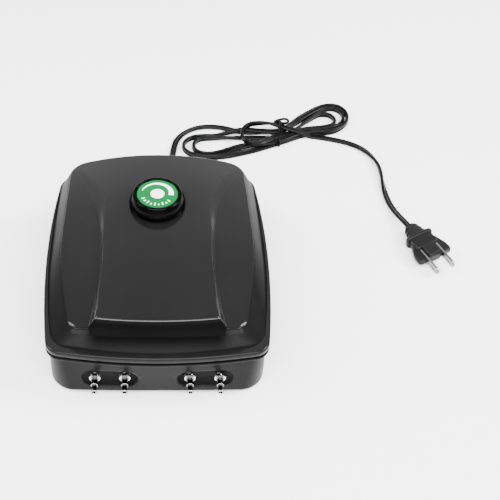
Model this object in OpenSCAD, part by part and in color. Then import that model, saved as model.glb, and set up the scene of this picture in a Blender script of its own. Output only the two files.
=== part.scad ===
// Four-outlet diaphragm air pump for ponds and aquariums.
// Frame: X to the right, Y to the back, Z up, nozzles on the -Y side, origin on the ground under the middle.

/* [Case] */
// Width across the case flange
case_w = 149; // [144:1:154]
// Depth across the case flange
case_d = 179; // [174:1:184]
// Height of the flat seam between base and lid
seam_z = 38; // [37:0.5:39]
// Highest point of the lid
lid_top = 72.5; // [71.5:0.5:73]
// Wall thickness of base and lid
wall = 2.5; // [2:0.25:3]
// Height of the rubber feet
foot_h = 3; // [2.5:0.5:3]

/* [Outlets] */
// Distance from the middle of the case to the middle of each nozzle pair
pair_x = 30; // [29:0.5:31]
// Distance between the two nozzles of a pair
pair_gap = 19; // [18:0.5:20]
// Height of the nozzle axes
nozzle_z = 17; // [16:0.5:18]
// How far the nozzle tips stand in front of the flange
tip_reach = 6; // [5:0.5:8]
// Bore of each nozzle
nozzle_bore = 2.8; // [2:0.2:3]

/* [Control knob] */
// Diameter of the knob at its foot
knob_d = 37.6; // [35:0.2:39]
// Height of the knob
knob_h = 9; // [8:0.5:10]
// Distance of the knob behind the middle of the case
knob_y = 18; // [16:1:22]

/* [Mains lead] */
// Width of the flat twin lead
cord_w = 5.2; // [5:0.1:5.6]
// Thickness of the flat twin lead
cord_t = 2.6; // [2.4:0.1:2.8]
// Direction in which the plug points, in degrees from +X
plug_turn = -67; // [-70:1:-64]
// Roll of the plug about its own length
plug_roll = 10; // [0:1:12]

/* [Hidden] */
$fn = 48;

hw = case_w / 2;
hd = case_d / 2;
// The nozzles stand out at the front only, so the case sits this far behind the origin
case_y = tip_reach / 2;
tip_y = -hd - tip_reach;

// Case outlines: half width, half depth, corner radius, bow of the long sides, bow of the short sides
flange_line = [hw, hd, 10, 5.7, 7];
gasket_line = [hw - 1.2, hd - 1.2, 9, 5.7, 7];
rim_line = [hw - 2.2, hd - 2.2, 9, 5.4, 6.5];
foot_line = [hw - 2.8, hd - 4.7, 10, 5.5, 8];
bottom_line = [hw - 4.5, hd - 5.5, 15, 2, 1];
floor_line = [hw - 5.9, hd - 6.9, 14, 2, 1];
rim_z = seam_z - 3.7;
gasket_z = seam_z - 1.7;
ledge_z = seam_z + 4;
skirt_slope = 0.45;
crown = 8.3;
crown_x = 58;
arch = 0.001;
arch_y = 25;
crease_x = 35.5;
crease_curve = 0.0028;
crease_curve_back = 0.0016;
crease_flare = 0.000016;
crease_y = -26;
crease_ramp = 2.5;
side_drop = 1.6;
foot_pad_at = [44, 60];
case_screw_at = [54, 66];
post_web = 12.8;
chassis_screw_at = [50, 51];
pocket_r = 8;
intake_at = [0, -66];

// Pump unit: two magnets swing at the ends of each core
row_front = -44;
row_rear = 12;
core_z = 28;
core_half = 20;
arm_x = 27.3;
pivot_dy = 38;
plunge_dy = 20;
chamber_x = 38;
chamber_l = 14;
chamber_w = 28;
chassis_z = 9;
chassis_t = 2;
pin_r = 1.5;
shaft_r = 3;
running = 0.05;

// Lid and knob heights
knob_z = lid_top + 0.4;
boss_z = lid_top - 6.5;
nut_t = 2.5;

// Mains lead, with the route on the ground as seen from above
cord_x = 10;
cord_z = 14;
relief_end = hd + 20;
relief_len = 22;
lie = cord_t / 2;
route_pump_side = [[10, 109.5, 14], [10, 116, 13.6], [10, 123, 11.5], [10, 130, 8], [10, 137, 4.5],
    [11, 144, 2.2], [12, 151, lie], [13, 160, lie], [15, 171, lie], [20, 180, lie], [28, 187, lie],
    [38, 191, lie], [49, 191, lie], [60, 188, lie], [67, 185, lie]];
route_plug_side = [[127, 178.5, lie], [134, 177, lie], [142, 175, lie], [151, 172, lie],
    [160, 167.5, lie], [168.5, 160.5, lie], [174, 151, lie], [177, 141, lie], [177.5, 130, lie],
    [177, 119, lie], [177, 108, lie], [178, 97, 1.6], [179.6, 88, 2.6], [182, 79, 4.4], [184.9, 70.5, 6.2],
    [187.5, 63.1, 7]];
hank_h = 9;
hank_left = [33, 164, 13];
hank_tie = [101, 179, 12];
hank_right = [144, 200, 17];
plug_at = [187.5, 63.1, 7];
blade_from = 18;
blade_tip = 46;
blade_gap = 12.7;

function clamp01(t) = min(1, max(0, t));
function smooth(t) = let (c = clamp01(t)) c * c * (3 - 2 * c);

// ---- Outlines and lofts ----

function corner_points(a, b, r, steps = 7, sides = 5) = [
    for (q = [0:3])
        let (sx = (q == 0 || q == 3) ? 1 : -1, sy = q < 2 ? 1 : -1)
        each concat(
            [for (k = [0:steps]) let (t = q * 90 + 90 * k / steps)
                [sx * (a - r) + r * cos(t), sy * (b - r) + r * sin(t)]],
            [for (k = [1:sides]) let (f = k / (sides + 1), t = q * 90 + 90,
                                      p = [sx * (a - r) + r * cos(t), sy * (b - r) + r * sin(t)],
                                      e = q % 2 == 0 ? [-p[0], p[1]] : [p[0], -p[1]])
                p + f * (e - p)])];

function bowed(p, l) = [p[0] * (1 - l[3] / l[0] * pow(p[1] / l[1], 2)),
                        p[1] * (1 - l[4] / l[1] * pow(p[0] / l[0], 2))];

function inset(l, d) = [l[0] - d, l[1] - d, max(l[2] - d / 2, 3), l[3], l[4]];

function ring(l, z) = [for (p = corner_points(l[0], l[1], l[2])) let (b = bowed(p, l)) [b[0], b[1], z]];

// Closed solid through a stack of rings that all have the same number of points
module loft(rings) {
    n = len(rings[0]);
    m = len(rings);
    points = [for (r = rings) each r];
    bottom = [[for (i = [0:n - 1]) i]];
    top = [[for (i = [n - 1:-1:0]) (m - 1) * n + i]];
    sides = [for (k = [0:m - 2], i = [0:n - 1]) let (j = (i + 1) % n)
        each [[k * n + i, (k + 1) * n + i, (k + 1) * n + j], [k * n + i, (k + 1) * n + j, k * n + j]]];
    polyhedron(points = points, faces = concat(bottom, sides, top), convexity = 6);
}

// ---- Sweeps along a route ----

function unit(v) = v / norm(v);
function catmull(p0, p1, p2, p3, t) = 0.5 * ((2 * p1) + (p2 - p0) * t
    + (2 * p0 - 5 * p1 + 4 * p2 - p3) * t * t + (3 * p1 - 3 * p2 + p3 - p0) * t * t * t);
function smooth_route(r, steps) = let (n = len(r)) concat(
    [for (i = [0:n - 2], s = [0:steps - 1])
        catmull(r[max(i - 1, 0)], r[i], r[i + 1], r[min(i + 2, n - 1)], s / steps)], [r[n - 1]]);
function heading(r, i) = unit(r[min(i + 1, len(r) - 1)] - r[max(i - 1, 0)]);
function level_side(h) = unit(cross(h, [0, 0, 1]));
function oval_ring(r, i, a, b, sides) = let (h = heading(r, i), s = level_side(h), u = cross(s, h))
    [for (k = [0:sides - 1]) let (t = 360 * (k + 0.5) / sides) r[i] + a * cos(t) * s + b * sin(t) * u];

// Solid tube of oval section, a wide and b high
module sweep(route, a, b, sides = 8) {
    grow = 1 / cos(180 / sides);
    rings = [for (i = [0:len(route) - 1]) oval_ring(route, i, a / 2 * grow, b / 2 * grow, sides)];
    loft(rings);
}

// Hose with a round section and a hollow middle
module hose(route, outer, inner, sides = 8) {
    n = len(route);
    outside = [for (i = [0:n - 1]) each oval_ring(route, i, outer, outer, sides)];
    inside = [for (i = [0:n - 1]) each oval_ring(route, i, inner, inner, sides)];
    c = n * sides;
    last = (n - 1) * sides;
    skin = [for (k = [0:n - 2], i = [0:sides - 1]) let (j = (i + 1) % sides, a = k * sides, b = a + sides)
        each [[a + i, b + i, b + j], [a + i, b + j, a + j],
              [c + a + i, c + b + j, c + b + i], [c + a + i, c + a + j, c + b + j]]];
    ends = [for (i = [0:sides - 1]) let (j = (i + 1) % sides)
        each [[i, j, c + j], [i, c + j, c + i],
              [last + i, c + last + j, last + j], [last + i, c + last + i, c + last + j]]];
    polyhedron(points = concat(outside, inside), faces = concat(skin, ends), convexity = 6);
}

module in_case() translate([0, case_y, 0]) children();
module corners(at) for (x = [-1, 1], y = [-1, 1]) translate([x * at[0], y * at[1], 0]) children();
module nozzle_axes() for (s = [-1, 1], o = [-0.5, 0.5])
    translate([s * pair_x + o * pair_gap, 0, nozzle_z]) rotate([90, 0, 0]) children();

// ---- Base ----

module pocket(r, from, to) for (s = [-1, 1]) {
    for (o = [-0.5, 0.5])
        translate([s * pair_x + o * pair_gap, to, nozzle_z]) rotate([90, 0, 0]) cylinder(r = r, h = to - from);
    translate([s * pair_x - pair_gap / 2, from, nozzle_z - r]) cube([pair_gap, to - from, 2 * r]);
}

module base_shell() color([0.13, 0.13, 0.135]) in_case() difference() {
    union() {
        difference() {
            union() {
                loft([ring(floor_line, foot_h), ring(bottom_line, foot_h + 1.5), ring(rim_line, rim_z - 0.4)]);
                loft([ring(inset(flange_line, 1.2), rim_z - 1), ring(flange_line, rim_z), ring(flange_line, gasket_z)]);
            }
            loft([ring(inset(bottom_line, wall), foot_h + wall), ring(inset(rim_line, wall), gasket_z + 1)]);
        }
        intersection() {
            pocket(pocket_r + wall, -hd, -hd + 10);
            loft([ring(floor_line, foot_h), ring(bottom_line, foot_h + 1.5), ring(rim_line, rim_z - 0.4)]);
        }
        corners(case_screw_at) translate([0, 0, foot_h]) cylinder(r = 4.5, h = gasket_z - foot_h - 0.1);
        corners(chassis_screw_at) translate([0, 0, foot_h + 1]) cylinder(r = 4, h = chassis_z - foot_h - 1);
        translate([intake_at[0], intake_at[1], foot_h + 1]) cylinder(r = 12.5, h = 4.5);
    }
    pocket(pocket_r, -hd - 5, -hd + 7.5);
    nozzle_axes() cylinder(r = 2.5, h = hd);
    translate([cord_x, hd - 12, cord_z]) rotate([-90, 0, 0]) cylinder(r = 4.5, h = 20);
    corners(case_screw_at) {
        cylinder(r = 1.8, h = gasket_z + 1);
        cylinder(r = 3.6, h = foot_h + 5);
    }
    corners(chassis_screw_at) translate([0, 0, foot_h + 1.8]) cylinder(r = 1.2, h = chassis_z);
    translate([intake_at[0], intake_at[1], 0]) {
        cylinder(r = 10.9, h = 12);
        cylinder(r = 14.2, h = foot_h + 1.6);
    }
    corners(foot_pad_at) cylinder(r = 7.1, h = foot_h + 0.8);
}

module foot_pads() color([0.08, 0.08, 0.08]) in_case() corners(foot_pad_at) {
    translate([0, 0, 0.8]) cylinder(r = 7, h = foot_h);
    cylinder(r1 = 6.2, r2 = 7, h = 0.8);
}

module intake_cover() color([0.15, 0.15, 0.15]) in_case() translate([intake_at[0], intake_at[1], foot_h + 0.1])
    difference() {
        cylinder(r = 14, h = 1.4);
        for (x = [-8:4:8]) translate([x - 0.8, -6, -1]) cube([1.6, 12, 4]);
    }

module intake_filter() color([0.85, 0.85, 0.82]) in_case() translate([intake_at[0], intake_at[1], foot_h + 1.6])
    cylinder(r = 10.6, h = 3.2);

module screw(head_r, head_h, shank_r, length) {
    difference() {
        cylinder(r = head_r, h = head_h);
        translate([0, 0, -0.1]) {
            translate([-head_r * 0.6, -0.35, 0]) cube([head_r * 1.2, 0.7, 0.9]);
            translate([-0.35, -head_r * 0.6, 0]) cube([0.7, head_r * 1.2, 0.9]);
        }
    }
    translate([0, 0, head_h]) cylinder(r = shank_r, h = length);
}

module case_screws() color([0.75, 0.75, 0.76]) in_case() corners(case_screw_at)
    translate([0, 0, foot_h + 3]) screw(3.3, 2, 1.5, seam_z - foot_h + 2);

module case_gasket() color([0.06, 0.06, 0.06]) in_case() difference() {
    loft([ring(gasket_line, gasket_z), ring(gasket_line, seam_z)]);
    loft([ring(inset(gasket_line, 2.6), gasket_z - 1), ring(inset(gasket_line, 2.6), seam_z + 1)]);
}

// ---- Lid ----

function ridge(y) = lid_top - arch * pow(y - arch_y, 2);
function crease_at(y) = let (d = y - crease_y) crease_x
    + (d < 0 ? crease_curve * pow(d, 2) : crease_curve_back * pow(d, 2) + crease_flare * pow(d, 3));
function side_height(x, y) = ridge(y) - crown * pow(x / crown_x, 2) - side_drop * smooth((72 - y) / 132);
function panel_height(x, y) = ridge(y) - crown * pow(x / crown_x, 2) * (1 - smooth((76 - y) / 136));
// Columns follow the two creases, so that the raised centre panel keeps its hourglass edge
function column_x(k, y) = let (s = sign(k), c = abs(k), e = crease_at(y))
    c <= 3 ? s * e * c / 3 : s * (e + crease_ramp + (c - 4) / 4 * (80 - e - crease_ramp));
function lid_height(k, x, y) = abs(k) <= 3 ? panel_height(x, y) : side_height(x, y);

module height_block(drop, low) {
    rows = 24;
    cols = 17;
    top = [for (j = [0:rows], i = [0:cols - 1]) let (y = -92 + 184 * j / rows, k = i - 8, x = column_x(k, y))
        [x, y, lid_height(k, x, y) - drop]];
    base = [for (p = top) [p[0], p[1], low]];
    n = len(top);
    up = [for (j = [0:rows - 1], i = [0:cols - 2]) let (a = j * cols + i, b = a + cols)
        each [[a, b, b + 1], [a, b + 1, a + 1], [n + a, n + b + 1, n + b], [n + a, n + a + 1, n + b + 1]]];
    ends = [for (i = [0:cols - 2]) let (a = rows * cols + i)
        each [[i, i + 1, n + i + 1], [i, n + i + 1, n + i], [a, n + a + 1, a + 1], [a, n + a, n + a + 1]]];
    flanks = [for (j = [0:rows - 1]) let (a = j * cols, b = a + cols, c = a + cols - 1, d = c + cols)
        each [[a, n + b, b], [a, n + a, n + b], [c, d, n + d], [c, n + d, n + c]]];
    polyhedron(points = concat(top, base), faces = concat(up, ends, flanks), convexity = 8);
}

// Sloping skirt of the dome, pulled in by d
module skirt(d, from) {
    high = 78;
    rise = (high - ledge_z) * skirt_slope;
    top_line = [foot_line[0] - rise - d, foot_line[1] - rise - d, 13, 6.5, 7];
    loft([ring(inset(foot_line, d), from), ring(inset(foot_line, d), ledge_z), ring(top_line, high)]);
}

// Steeper brow under the front edge of the centre panel
module brow(d) {
    reach = hd - 9.3 - d;
    line = [for (k = [-8:8]) let (x = k * (crease_at(-76) - 2 - d) / 8) [x, -reach + 7.5 * pow(x / hw, 2)]];
    translate([0, 0, ledge_z]) linear_extrude(30) polygon(concat(line, [[30, -40], [-30, -40]]));
}

module lid_shell() color([0.13, 0.13, 0.135]) in_case() difference() {
    union() {
        difference() {
            union() {
                intersection() {
                    union() {
                        skirt(0, seam_z);
                        brow(0);
                    }
                    height_block(0, 30);
                }
                loft([ring(flange_line, seam_z), ring(flange_line, ledge_z - 0.8), ring(inset(flange_line, 0.8), ledge_z)]);
            }
            intersection() {
                skirt(wall, seam_z - 1);
                height_block(wall, 30);
            }
        }
        intersection() {
            translate([0, knob_y, boss_z]) cylinder(r = 11, h = 20);
            height_block(0.4, 30);
        }
        corners(case_screw_at) translate([0, 0, seam_z]) cylinder(r = 4, h = 10);
        for (x = [-1, 1], y = [-1, 1]) // webs that join the screw posts to the side walls
            translate([x * (case_screw_at[0] + post_web / 2), y * case_screw_at[1], seam_z + 2.25])
                cube([post_web, 2.4, 4.5], center = true);
    }
    translate([0, knob_y, 50]) cylinder(r = 3.8, h = 40);
    corners(case_screw_at) translate([0, 0, seam_z - 1]) cylinder(r = 1.5, h = 9);
}

// ---- Outlets ----

// One nozzle along +Z with its tip at the far end
module outlet_nozzle() {
    tip = -tip_y;
    difference() {
        union() {
            translate([0, 0, tip - 1.8]) cylinder(r = 2.05, h = 1.8);
            translate([0, 0, tip - 5]) cylinder(r = 1.8, h = 3.3);
            translate([0, 0, tip - 6.3]) cylinder(r = 2.45, h = 1.4);
            translate([0, 0, 85]) cylinder(r = 1.9, h = tip - 91);
            translate([0, 0, 79]) cylinder(r = 2.4, h = 7);
            translate([0, 0, 77.9]) cylinder(r = 4, h = 1.5);
            translate([0, 0, 73.5]) cylinder(r = 2, h = 4.5);
        }
        translate([0, 0, 60]) cylinder(r = nozzle_bore / 2, h = 60);
    }
}

module outlet_nozzles() color([0.8, 0.8, 0.8]) in_case() nozzle_axes() outlet_nozzle();

module outlet_washers() color([0.7, 0.7, 0.7]) in_case() nozzle_axes() translate([0, 0, 82]) difference() {
    cylinder(r = 3.7, h = 0.6);
    translate([0, 0, -1]) cylinder(r = 2.5, h = 3);
}

module hex_nut(across, hole, h) difference() {
    cylinder(d = across / cos(30), h = h, $fn = 6);
    translate([0, 0, -1]) cylinder(r = hole, h = h + 2);
}

module outlet_nuts() color([0.8, 0.8, 0.8]) in_case() nozzle_axes()
    translate([0, 0, 82.6]) rotate([0, 0, 30]) hex_nut(6.7, 2.45, 2.3);

module air_hoses() color([0.75, 0.76, 0.74]) in_case() for (s = [-1, 1]) {
    near = pair_x - pair_gap / 2;
    far = pair_x + pair_gap / 2;
    mirror([s < 0 ? 1 : 0, 0, 0]) {
        hose(smooth_route([[49.5, -38.5, 19], [49.5, -43.2, 19], [48.4, -49, 18.6], [43, -56, 18],
            [32, -62, 17.3], [23, -66, nozzle_z], [near, -72, nozzle_z], [near, -77.5, nozzle_z]], 2), 3, 2.3);
        hose(smooth_route([[49.5, 17.5, 35], [49.5, 12.8, 35], [50.5, 7, 35], [55, 0, 34.5], [59.4, -8, 34],
            [59.5, -25, 32], [58, -42, 28], [51, -55, 23.5], [42.5, -65, 18.5], [far, -72, nozzle_z],
            [far, -77.5, nozzle_z]], 2), 3, 2.3);
    }
}

// ---- Chassis and pump units ----

module chassis() color([0.7, 0.7, 0.68]) in_case() difference() {
    union() {
        translate([-56, -57, chassis_z]) cube([112, 114, chassis_t]);
        for (row = [row_front, row_rear], s = [-1, 1]) {
            translate([s * arm_x, row + pivot_dy, chassis_z]) cylinder(r = 4.5, h = 10.8);
            translate([s * 17.5 - 2, row - 10, chassis_z]) cube([4, 20, core_z - 7.2 - chassis_z]);
            for (f = [-1, 1]) translate([s * 17.5 - 2, row + f * 8.7 - 1.5, chassis_z]) cube([4, 3, 24]);
        }
    }
    corners(chassis_screw_at) translate([0, 0, chassis_z - 1]) cylinder(r = 1.7, h = 4);
    for (row = [row_front, row_rear], s = [-1, 1])
        translate([s * arm_x, row + pivot_dy, chassis_z - 1]) cylinder(r = pin_r + 0.02, h = 14);
    translate([0, 36, chassis_z - 1]) cylinder(r = 9, h = 5);
    translate([0, -14, chassis_z - 1]) cylinder(r = 9, h = 5);
}

module chassis_screws() color([0.75, 0.75, 0.76]) in_case() corners(chassis_screw_at)
    translate([0, 0, chassis_z + chassis_t + 1.9]) rotate([180, 0, 0]) screw(3, 1.8, 1.15, 6.2);

module core(row) color([0.42, 0.43, 0.45]) in_case() for (k = [-3:3])
    translate([-core_half, row + 2 * k - 0.97, core_z - 7]) cube([2 * core_half, 1.94, 14]);

module bobbin(row) color([0.85, 0.83, 0.75]) in_case() translate([0, row, core_z]) difference() {
    union() {
        for (s = [-1, 1]) translate([s * 14.2 - 1, -12.5, -12.5]) cube([2, 25, 25]);
        translate([-14, -8.3, -8.3]) cube([28, 16.6, 16.6]);
    }
    translate([-20, -7.1, -7.1]) cube([40, 14.2, 14.2]);
}

// Copper winding as a wound block with turned grooves along its length
module winding(row) color([0.72, 0.38, 0.18]) in_case() translate([0, row, core_z]) difference() {
    union() {
        translate([-13.1, -11, -11]) cube([26.2, 22, 22]);
        for (x = [-12:2:12]) translate([x - 0.6, -11.4, -11.4]) cube([1.2, 22.8, 22.8]);
    }
    translate([-20, -8.35, -8.35]) cube([40, 16.7, 16.7]);
}

module mirrored(s) mirror([s < 0 ? 1 : 0, 0, 0]) children();

module chamber(s, row) color([0.2, 0.21, 0.23]) in_case() mirrored(s)
    translate([chamber_x, row + plunge_dy, core_z]) difference() {
        barb_z = row == row_front ? 19 - core_z : 35 - core_z;
        union() {
            translate([0, -chamber_w / 2, chassis_z + chassis_t - core_z]) cube([chamber_l, chamber_w, 32]);
            translate([11.5, -chamber_w / 2 + 0.1, barb_z]) rotate([90, 0, 0]) cylinder(r = 1.95, h = 4.8);
        }
        translate([-1, 0, 0]) rotate([0, 90, 0]) cylinder(r = 9, h = 9);
        for (z = [-9, 9]) translate([10, -11, z - 5]) cube([6, 22, 10]);
        for (z = [-6.5, 6.5]) translate([0, 0, z]) rotate([0, 90, 0]) cylinder(r = 1.4, h = 12);
        translate([11.5, -5, barb_z]) rotate([90, 0, 0]) cylinder(r = 1, h = 20);
        for (y = [-12, 12], z = [-14.5, 13]) translate([8, y, z]) rotate([0, 90, 0]) cylinder(r = 0.9, h = 7);
    }

module diaphragm(s, row) color([0.1, 0.1, 0.1]) in_case() mirrored(s)
    translate([chamber_x, row + plunge_dy, core_z]) rotate([0, 90, 0]) rotate_extrude()
        polygon([[4.4, -5.5], [6.5, -5.5], [9, -1.8], [13, -1.8], [13, 0], [8.2, 0], [6, -4.3], [4.4, -4.3]]);

module valve_covers() color([0.3, 0.31, 0.33]) in_case() for (s = [-1, 1], row = [row_front, row_rear])
    mirrored(s) translate([chamber_x + chamber_l, row + plunge_dy, core_z]) difference() {
        translate([0, -chamber_w / 2, chassis_z + chassis_t - core_z]) cube([2, chamber_w, 32]);
        for (y = [-12, 12], z = [-14.5, 13]) translate([-1, y, z]) rotate([0, 90, 0]) cylinder(r = 1.1, h = 4);
        translate([-1, 0, row == row_front ? 9 : -9]) rotate([0, 90, 0]) cylinder(r = 1.5, h = 4);
    }

module valve_flaps() color([0.6, 0.2, 0.15]) in_case()
    for (s = [-1, 1], row = [row_front, row_rear], z = [-6.5, 6.5])
        mirrored(s) translate([chamber_x + 10.1, row + plunge_dy, core_z + z]) rotate([0, 90, 0])
            cylinder(r = 2.4, h = 0.8);

module cover_screws() color([0.75, 0.75, 0.76]) in_case()
    for (s = [-1, 1], row = [row_front, row_rear], y = [-12, 12], z = [-14.5, 13])
        mirrored(s) translate([chamber_x + chamber_l + 3, row + plunge_dy + y, core_z + z])
            rotate([0, -90, 0]) screw(1.7, 1, 0.85, 6.5);

module pivot_pins() color([0.8, 0.8, 0.82]) in_case() for (s = [-1, 1], row = [row_front, row_rear])
    translate([s * arm_x, row + pivot_dy, chassis_z + chassis_t + 0.1]) {
        cylinder(r = pin_r, h = 25.2);
        translate([0, 0, 25.2]) cylinder(r = 3, h = 1.2);
    }

// ---- Swinging arms ----

module arm(s, row) color([0.78, 0.78, 0.8]) in_case() mirrored(s) translate([arm_x, row, 0]) difference() {
    union() {
        translate([-1.5, -8, core_z - 6]) cube([3, 44, 12]);
        translate([0, pivot_dy, core_z - 8]) cylinder(r = 3.8, h = 16);
    }
    translate([0, pivot_dy, core_z - 10]) cylinder(r = pin_r + running, h = 20);
    translate([-3, plunge_dy, core_z]) rotate([0, 90, 0]) cylinder(r = 1.5, h = 6);
}

module magnet(s, row) color([0.55, 0.55, 0.57]) in_case() mirrored(s)
    translate([arm_x - 1.5, row, core_z]) rotate([0, -90, 0]) cylinder(r = 7, h = 4);

module plunger(s, row) color([0.85, 0.85, 0.86]) in_case() mirrored(s)
    translate([arm_x, row + plunge_dy, core_z]) rotate([0, 90, 0]) {
        translate([0, 0, -3]) cylinder(r = 3, h = 1.5);
        translate([0, 0, -2]) cylinder(r = 1.48, h = 5);
        translate([0, 0, 1.5]) cylinder(r = 5.6, h = 1.4);
        translate([0, 0, 2.5]) cylinder(r = 3.5, h = 5.5);
    }

// ---- Air control ----

module rheostat_case() color([0.25, 0.25, 0.27]) in_case() translate([0, knob_y, boss_z - 8.6]) difference() {
    cylinder(r = 12, h = 7.6);
    translate([0, 0, 1.5]) cylinder(r = 10.4, h = 4.6);
    translate([0, 0, 4]) cylinder(r = shaft_r + 0.3, h = 9);
}

module rheostat_track() color([0.35, 0.2, 0.12]) in_case() translate([0, knob_y, boss_z - 7.1]) difference() {
    cylinder(r = 10.2, h = 0.8);
    translate([0, 0, -1]) cylinder(r = 7.6, h = 3);
}

module rheostat_bushing() color([0.75, 0.62, 0.3]) in_case() translate([0, knob_y, boss_z - 1]) difference() {
    union() {
        cylinder(r = 6.5, h = 0.95);
        cylinder(r = 3.6, h = lid_top - boss_z + 3.6);
    }
    translate([0, 0, -1]) cylinder(r = shaft_r + running, h = 20);
}

module rheostat_nut() color([0.8, 0.8, 0.8]) in_case() translate([0, knob_y, lid_top + 0.05])
    hex_nut(10, 3.65, nut_t - 0.2);

module rheostat_shaft() color([0.75, 0.75, 0.77]) in_case() translate([0, knob_y, 0]) {
    translate([0, 0, boss_z - 6]) cylinder(r = shaft_r, h = knob_z + knob_h - 2 - boss_z + 6);
    translate([0, 0, boss_z - 5.6]) cylinder(r = 6.6, h = 0.9);
    translate([2, -1, boss_z - 5.6]) cube([6.8, 2, 0.9]);
}

module knob() color([0.05, 0.05, 0.05]) in_case() translate([0, knob_y, knob_z]) rotate_extrude($fn = 96) {
    r = knob_d / 2;
    polygon([[r - 4, 0], [r - 0.5, 0], [r, 0.5], [r - 0.3, 2.6], [r - 1.3, 6], [r - 2.7, knob_h - 0.4],
        [r - 3.2, knob_h], [r - 4.5, knob_h], [r - 5, knob_h - 1.1], [shaft_r, knob_h - 1.1],
        [shaft_r, 3.2], [6.5, 3.2], [6.5, knob_h - 3.4], [r - 5.4, knob_h - 3.4]]);
}

module knob_label() color([0.04, 0.6, 0.3]) in_case() translate([0, knob_y, knob_z + knob_h - 1.1])
    cylinder(r = knob_d / 2 - 5.3, h = 0.5, $fn = 96);

// ---- Wiring ----

module terminal_block() color([0.9, 0.9, 0.86]) in_case() translate([-34, 66, foot_h + wall + 0.1]) {
    cube([22, 8, 5]);
    translate([1, 1, 4.9]) for (x = [0:10:10]) translate([x, 0, 0]) cube([9, 6, 3]);
}

module lead_wires() color([0.08, 0.08, 0.08]) in_case() {
    for (route = [
            [[8.5, 79.3, 14], [4, 76.5, 13.5], [-4, 73, 12.3], [-13.7, 71.3, 12]],
            [[11, 79.3, 14], [7, 74, 15.5], [-2, 70, 15], [-9, 69, 13], [-13.7, 69, 12]],
            [[-29, 66.6, 12], [-29, 61, 14], [-22, 54, 30], [-12, 44, 48], [-7, 33, 55], [-4, 28, 56.2]],
            [[-19, 66.6, 12], [-19, 61, 15], [-10, 46, 22], [-5, 31, 30], [-4, 24.4, 33]],
            [[4, -0.2, 33], [4, -8, 36], [0, -16, 37], [-4, -25, 36], [-4, -32, 33]]])
        sweep(smooth_route(route, 3), 1.6, 1.6, 6);
}

// ---- Mains lead ----

module strain_relief() color([0.07, 0.07, 0.07]) in_case()
    translate([cord_x, relief_end, cord_z]) rotate([90, 0, 0]) difference() {
        union() {
            cylinder(r1 = 3.4, r2 = 4.9, h = relief_len);
            for (z = [3:4:relief_len - 3])
                translate([0, 0, z]) cylinder(r = 4.1 + z * 0.06, h = 1.8);
            translate([0, 0, relief_len]) cylinder(r = 6.4, h = 1.6);
            translate([0, 0, relief_len]) cylinder(r = 4.4, h = 8);
            translate([0, 0, relief_len + 5.9]) cylinder(r = 5.8, h = 1.8);
        }
        translate([-cord_w / 2, -cord_t / 2, 0]) translate([0, 0, relief_len - 2]) cube([cord_w, cord_t, 20]);
    }

module cord_pump_side() color([0.06, 0.06, 0.06]) in_case() sweep(smooth_route(route_pump_side, 2), cord_w, cord_t);

module cord_plug_side() color([0.06, 0.06, 0.06]) in_case() sweep(smooth_route(route_plug_side, 2), cord_w, cord_t);

// Bundle of the tied loops, as one closed slab with round ends
module cord_hank() color([0.06, 0.06, 0.06]) in_case() linear_extrude(hank_h)
    for (end = [hank_left, hank_right]) hull() for (c = [end, hank_tie]) translate([c[0], c[1]]) circle(c[2]);

module cord_tie() color([0.03, 0.03, 0.03]) in_case() translate([hank_tie[0] + 1, hank_tie[1] + 0.5, 0])
    rotate([0, 0, 18]) difference() {
        translate([-1.3, -13.4, 0]) cube([2.6, 26.8, hank_h + 2]);
        translate([-3, -12.3, -1]) cube([6, 24.6, hank_h + 1.1]);
    }

module in_plug() in_case() translate(plug_at) rotate([0, 0, plug_turn]) rotate([plug_roll, 0, 0]) children();

// Box of length l with round edges along its length
module bar(x, l, w1, w2, h, r) hull() for (e = [[x, w1], [x + l - 0.01, w2]], y = [-1, 1], z = [-1, 1])
    translate([e[0], y * (e[1] / 2 - r), z * (h / 2 - r)]) rotate([0, 90, 0]) cylinder(r = r, h = 0.01, $fn = 24);

module plug_body() color([0.06, 0.06, 0.06]) in_plug() difference() {
    union() {
        bar(0, 10, 8, 14, 8.5, 3);
        bar(0.8, 1.9, 11, 11, 9.6, 4);
        bar(4, 1.9, 13, 13, 10.2, 4);
        bar(7.2, 1.9, 15, 15, 10.6, 4);
        bar(10, 3.2, 21, 21, 11.4, 4);
        bar(13, 10, 17.6, 17.6, 10, 2);
        bar(13, 20.5, 13.5, 27, 8, 2);
        bar(22, 10.5, 10.2, 10.2, 9, 1);
    }
    for (s = [-1, 1]) translate([blade_from - 0.2, s * blade_gap / 2 - 1.2, -5.5]) cube([20, 2.4, 11]);
}

module plug_blades() color([0.75, 0.75, 0.76]) in_plug() for (s = [-1, 1])
    translate([blade_from, s * blade_gap / 2 - 0.75, 0]) difference() {
        length = blade_tip - blade_from - 3.15;
        union() {
            translate([0, 0, -3.15]) cube([length, 1.5, 6.3]);
            translate([length, 0, 0]) rotate([-90, 0, 0]) cylinder(r = 3.15, h = 1.5);
        }
        translate([length - 3, -1, 0]) rotate([-90, 0, 0]) cylinder(r = 1.6, h = 4);
    }

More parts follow.
